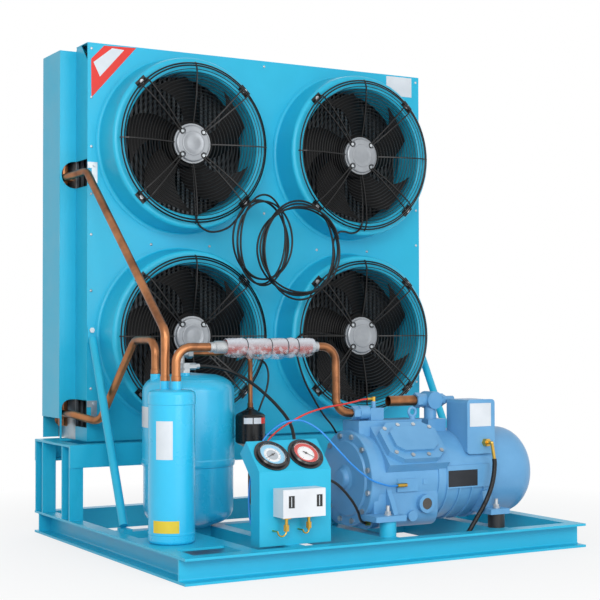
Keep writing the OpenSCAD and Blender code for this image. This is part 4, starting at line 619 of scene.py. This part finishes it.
cuffs = turned("absorber_cuffs",
               [(CUFF_R, 0), (CUFF_R, CUFF_LEN), (BRAID_R, CUFF_LEN + CUFF_STEP),
                *((BRAID_R, edge) for edge in BRAID_RINGS),
                (BRAID_R, ABSORBER_LEN - CUFF_LEN - RIGHT_STEP), (CUFF_R, ABSORBER_LEN - CUFF_LEN),
                (CUFF_R, ABSORBER_LEN)],
               ABSORBER_A, braided_steel(), axis=absorber_axis)
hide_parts("vibration_absorber")
# Foam: dull brick red, seen through the film's lower half
red_foam = surfaced("red_foam_sheet", "#b5483a", "#8f3226", rough=0.8, grain_mm=3.0, relief_mm=0.4)
turned("absorber_foam",
       [(BRAID_R, foam_from), (FOAM_R, foam_from + FOAM_EDGE), (FOAM_MIDDLE_R, ABSORBER_LEN / 2),
        (FOAM_R, foam_to - FOAM_EDGE), (BRAID_R, foam_to)],
       ABSORBER_A, red_foam, axis=absorber_axis)


# Bubble film: polythene with rows of bubbles, wound round the foam. It sags below the hose, its
# top is painted white as a sheen of light from above, and it is drawn in by the ties and at both ends.
BUBBLE_PITCH = 0.0092
BUBBLES_ROUND = 15
BUBBLE_H = 0.0011
FILM_R, WRAP_R = 0.0204, 0.0226
FILM_ROWS, FILM_COLUMNS = 330, 96
FILM_SAG = 0.0095
FILM_END = 0.018
FOLDS = ((0.0007, 3, 40), (0.0005, 7, -95))
ROOM_DRAWN_IN, SAG_DRAWN_IN = 0.6, 0.35
TIES = np.array([0.098, 0.166, 0.212, 0.242])
TIE_PINCH = 0.006
TIE_RING_R = 0.0206
TIE_R = 0.0013
TIE_POINTS = 40
# Heights between which the film turns to opaque white: a painted sheen of light on its top
SHEEN_FROM_Z, SHEEN_FULL_Z = 0.536, 0.56
wrap_from, wrap_to = 0.14 * ABSORBER_LEN, 0.955 * ABSORBER_LEN


def bubble_film():
    """Clear film: see-through with whitened creases below, and nearly opaque white over its top as a
    painted sheen of light from above.
    """
    finish, tree = new_finish("bubble_film_polythene")
    place = add(tree, "ShaderNodeTexCoord").outputs["Object"]
    crease = add(tree, "ShaderNodeTexNoise",
                 {"Vector": place, "Scale": 70.0, "Detail": 4.0}).outputs["Fac"]
    z = add(tree, "ShaderNodeSeparateXYZ", {0: place}).outputs["Z"]
    # Above a height the film is painted nearly opaque white, a painted sheen of light falling on its top
    top_sheen = add(tree, "ShaderNodeMapRange", {"Value": z, "From Min": SHEEN_FROM_Z,
                                              "From Max": SHEEN_FULL_Z, "To Max": 0.92})
    patchy = add(tree, "ShaderNodeMapRange", {"Value": crease, "From Min": 0.4, "From Max": 0.62,
                                              "To Min": 0.1, "To Max": 0.6})
    white = add(tree, "ShaderNodeMath",
                {0: top_sheen.outputs["Result"], 1: patchy.outputs["Result"]}, operation="MAXIMUM")
    relief = add(tree, "ShaderNodeBump", {"Height": crease, "Strength": 0.7, "Distance": 0.002})
    shader = add(tree, "ShaderNodeBsdfPrincipled", {
        "Base Color": linear("#c3c8cf"), "Roughness": 0.2, "Normal": relief.outputs["Normal"],
        "Alpha": white.outputs[0]})
    add(tree, "ShaderNodeOutputMaterial", {"Surface": shader.outputs[0]})
    return finish


def film_radius(h, a):
    """The film's radius at a place along the hose and an angle round it.

    It is the film's own radius, plus the room up to the wrap's radius, two sets of folds that
    wind round as sines, the bubbles, and the sag below. A bubble is the square root of two
    cosines' product, and the ends and the ties draw these in.
    """
    bubble = np.clip(np.cos(2 * np.pi * h / BUBBLE_PITCH) * np.cos(BUBBLES_ROUND * a), 0, 1) ** 0.5
    folds = sum(deep * np.sin(round_it * a + along * h) for deep, round_it, along in FOLDS)
    pinch = sum(np.exp(-((h - t) / TIE_PINCH) ** 2) for t in TIES)
    ends = np.clip(np.minimum(h - wrap_from, wrap_to - h) / FILM_END, 0, 1) ** 0.5
    share = (h - wrap_from) / (wrap_to - wrap_from)
    sag = FILM_SAG * np.clip(-np.sin(a), 0, 1) ** 0.8 * np.sin(np.pi * share) ** 0.5
    room = (WRAP_R - FILM_R - BUBBLE_H) * ends * (1 - ROOM_DRAWN_IN * pinch)
    relief = (folds + BUBBLE_H * bubble) * ends * (1 - pinch)
    return FILM_R + room + relief + sag * (1 - SAG_DRAWN_IN * pinch)


h = np.linspace(wrap_from, wrap_to, FILM_ROWS)[:, None]
a = np.linspace(0, 2 * np.pi, FILM_COLUMNS, endpoint=False)[None, :]
across = np.cross(absorber_axis, UP)
across /= np.linalg.norm(across)
outward = across * np.cos(a)[..., None] + UP * np.sin(a)[..., None]
film_grid = ABSORBER_A + absorber_axis * h[..., None] + film_radius(h, a)[..., None] * outward
piece_from("absorber_film", film_grid.reshape(-1, 3),
           quads(FILM_ROWS, FILM_COLUMNS, True)[:, ::-1].tolist(), bubble_film())
turn = np.linspace(0, 2 * np.pi, TIE_POINTS)[:, None]
for number, t in enumerate(TIES):
    ring = ABSORBER_A + absorber_axis * t + TIE_RING_R * (across * np.cos(turn) + UP * np.sin(turn))
    tube(f"absorber_tie_{number}", ring, TIE_R, black_moulded, sides=8,
         first=absorber_axis)


# Console: one folded steel sheet that stands on a cross member of the base, with two gauges in
# its slanted plate and the dual pressure control on its front.
def gauge_glass():
    """Flat glass: clear, with a twentieth of a smooth reflection mixed in."""
    finish, tree = new_finish("gauge_glass_flat")
    clear = add(tree, "ShaderNodeBsdfTransparent", {"Color": (1, 1, 1, 1)})
    gloss = add(tree, "ShaderNodeBsdfGlossy", {"Color": (1, 1, 1, 1), "Roughness": 0.03})
    mixed = add(tree, "ShaderNodeMixShader", {0: 0.05, 1: clear.outputs[0], 2: gloss.outputs[0]})
    add(tree, "ShaderNodeOutputMaterial", {"Surface": mixed.outputs[0]})
    return finish


# Gauge cases: black plastic under a hard gloss
case_black = surfaced("black_plastic_gauge_case", "#131416", "#0b0c0d", rough=0.24, grain_mm=2.0,
                      relief_mm=0.03, coat=0.4)
# Control's cover: white moulded plastic with a fine even texture
white_abs = surfaced("white_plastic_moulded", "#dfe2e6", "#d5d8dc", rough=0.36, grain_mm=1.5,
                     relief_mm=0.05)
dress(blue_paint, "console")
dress(case_black, "gauge_cases", "needle_low", "needle_high")
dress(white_abs, "pressure_control")
dress(gauge_glass(), "gauge_lenses")


# Gauge faces: printed tin discs that lie in the cases' recesses, each with a coloured band, a
# middle disc and black marks. They carry no numbers and no lettering.
GAUGE_X = (283, 378)
PLATE_FOOT = (70, 243)
PLATE_HALF = 49.5
COS45 = math.sqrt(0.5)
GAUGE_SIDE = np.array([1.0, 0, 0])
GAUGE_UP = np.array([0, COS45, COS45])
GAUGE_OUT = np.array([0, -COS45, COS45])
FACE_H, BAND_H, MARK_H = 4.12, 4.24, 4.36
FACE_RADII, BAND_RADII, MIDDLE_RADII = (0.2, 33.6), (22.5, 32.4), (3.0, 15.5)
BAND_STEPS = 72
DIAL_START, DIAL_END = 225, -45
MARKS, LONG_EVERY = 31, 5
MARK_OUTER, LONG_INNER, SHORT_INNER = 22.2, 17.4, 19.4
LONG_HALF, SHORT_HALF = 0.9, 0.45


def printed(name, tone, deep, rough=0.4):
    """Printing on tin: one even colour, flat and half matt."""
    return surfaced(name, tone, deep, rough=rough, grain_mm=1.0, relief_mm=0.0)


def on_dial(gauge, r, angle, height):
    """A place on a face: radius in mm, angle in degrees from its right side, height in mm."""
    up_plate = PLATE_HALF * COS45
    centre = placed((GAUGE_X[gauge], PLATE_FOOT[0] + up_plate, PLATE_FOOT[1] + up_plate))
    a = np.radians(np.asarray(angle, float))[..., None]
    flat = GAUGE_SIDE * np.cos(a) + GAUGE_UP * np.sin(a)
    return centre + flat * np.asarray(r, float)[..., None] / 1000 + GAUGE_OUT * height / 1000


def dial_ring(name, gauge, radii, height, finish):
    """A flat ring: two circles of points, joined all the way round."""
    angle, radius = np.meshgrid(np.linspace(360, 0, BAND_STEPS), radii, indexing="ij")
    grid = on_dial(gauge, radius, angle, height)
    piece_from(name, grid.reshape(-1, 3), quads(BAND_STEPS, 2, False)[:, ::-1].tolist(), finish)


print_white = printed("printed_tin_white", "#f3f4f5", "#ebedee")
print_grey = printed("printed_tin_grey", "#aeb6bd", "#a6aeb5")
print_blue = printed("printed_tin_blue", "#8fd0ee", "#86c8e8")
print_red = printed("printed_tin_red", "#d93a30", "#cf332a")
# Black ink for the dial marks, also used as painted shade in the control's windows
ink_and_shade_black = printed("ink_black_and_painted_shade", "#17181a", "#121315", rough=0.45)
mark_at = np.linspace(DIAL_START, DIAL_END, MARKS)
long = np.arange(MARKS) % LONG_EVERY == 0
half = np.where(long, LONG_HALF, SHORT_HALF)
inner = np.where(long, LONG_INNER, SHORT_INNER)
outer = np.full(MARKS, MARK_OUTER)
mark_angles = np.stack([mark_at + half, mark_at - half, mark_at - half, mark_at + half], -1)
mark_radii = np.stack([inner, inner, outer, outer], -1)
mark_faces = (np.arange(MARKS)[:, None] * 4 + np.arange(4)[None, :]).tolist()
for gauge, name, band, middle in ((0, "low", print_blue, print_grey),
                                  (1, "high", print_red, print_white)):
    dial_ring(f"dial_{name}_face", gauge, FACE_RADII, FACE_H, print_white)
    dial_ring(f"dial_{name}_band", gauge, BAND_RADII, BAND_H, band)
    dial_ring(f"dial_{name}_middle", gauge, MIDDLE_RADII, BAND_H, middle)
    piece_from(f"dial_{name}_marks", on_dial(gauge, mark_radii, mark_angles, MARK_H).reshape(-1, 3),
               mark_faces, ink_and_shade_black)


# Labels: thin printed film stuck on the vessels, the drier, the terminal box and the panel, and
# an anodised plate on the compressor's pad. All of them are blank.
LABEL_LIFT = 0.4
FIELD_LIFT = 0.3
PLATE_LIFT = 0.6
SEPARATOR, SEPARATOR_R = (82, 254), 58
RECEIVER, RECEIVER_R = (248, 510), 124
DRIER, DRIER_R = (384, 410), 40
PANEL_FACE, PAD_FACE, LID_FACE = 858.4, 90, 95


def label_film(name, tone, deep, rough=0.42):
    """Printed film: one soft even colour with a dull gloss."""
    return surfaced(name, tone, deep, rough=rough, grain_mm=3.0, relief_mm=0.02)


def wrapped_label(name, axis_xy, radius, angles, heights, finish, steps=24):
    """A patch of a cylinder between two angles in degrees and two heights in mm."""
    angle, z = np.meshgrid(np.radians(np.linspace(*angles, steps)), heights, indexing="ij")
    r = radius + LABEL_LIFT
    grid = placed(np.stack([axis_xy[0] + r * np.cos(angle), axis_xy[1] + r * np.sin(angle), z], -1))
    piece_from(name, grid.reshape(-1, 3), quads(steps, 2, False)[:, ::-1].tolist(), finish)


def flat_label(name, y, outline, finish):
    """One flat face that looks forward: its corners in mm, as X and Z, at a depth Y."""
    piece_from(name, placed([(x, y, z) for x, z in outline]), [list(range(len(outline)))], finish)


def rectangle(left, right, low, high):
    """The corners of a rectangle, anticlockwise from its low left one."""
    return [(left, low), (right, low), (right, high), (left, high)]


label_white = label_film("label_film_white", "#d8dde2", "#ccd2d8")
label_red = label_film("label_film_red", "#e02a1e", "#d4241a", rough=0.4)
label_yellow = label_film("label_film_yellow", "#e6c93a", "#dabc2c")
# Anodised plate: dark grey with a faint metallic sheen
plate_dark = surfaced("anodised_name_plate", "#31343a", "#26292e", rough=0.36, grain_mm=1.2,
                      relief_mm=0.03, metallic=0.6)
wrapped_label("separator_label", SEPARATOR, SEPARATOR_R, (205, 248), (271, 365), label_white)
wrapped_label("separator_strip", SEPARATOR, SEPARATOR_R, (196, 264), (92, 122), label_yellow)
wrapped_label("receiver_label", RECEIVER, RECEIVER_R, (150, 194), (330, 385), label_white)
wrapped_label("drier_label_left", DRIER, DRIER_R, (217, 251), (339, 355), label_white)
wrapped_label("drier_label_right", DRIER, DRIER_R, (255, 288), (339, 355), label_white)
wrapped_label("drier_label_end", DRIER, DRIER_R, (288, 317), (339, 355), label_red)
decal_y = PANEL_FACE - LABEL_LIFT
flat_label("panel_corner_decal", decal_y, [(103, 1371), (104, 1259), (243, 1416), (143, 1413)],
           label_red)
flat_label("panel_corner_field", decal_y - FIELD_LIFT,
           [(110, 1362), (130, 1322), (205, 1406), (168, 1408)], label_white)
flat_label("panel_right_label", decal_y, rectangle(1118, 1216, 1351, 1414), label_white)
flat_label("name_plate", PAD_FACE - PLATE_LIFT, rectangle(804, 899, 174, 217), plate_dark)
flat_label("terminal_label", LID_FACE - PLATE_LIFT, rectangle(878, 948, 330, 392), label_white)


# Pressure control's windows: two openings in the white cover, each filled by a black face of painted
# shade for its dark inside, with a blank scale strip down its middle.
WINDOW_X = (291.6, 369.5)
WINDOW_HALF, WINDOW_Z, WINDOW_Y = 8.2, (158.4, 187.6), 21.2
SCALE_HALF, SCALE_Z, SCALE_Y = 1, (161, 185), 20.9
# Each window's black face is painted shade that stands for the dark inside of the opening
for number, x in enumerate(WINDOW_X):
    flat_label(f"control_window_shade_{number}", WINDOW_Y,
               rectangle(x - WINDOW_HALF, x + WINDOW_HALF, *WINDOW_Z), ink_and_shade_black)
    flat_label(f"control_scale_{number}", SCALE_Y,
               rectangle(x - SCALE_HALF, x + SCALE_HALF, *SCALE_Z), label_white)
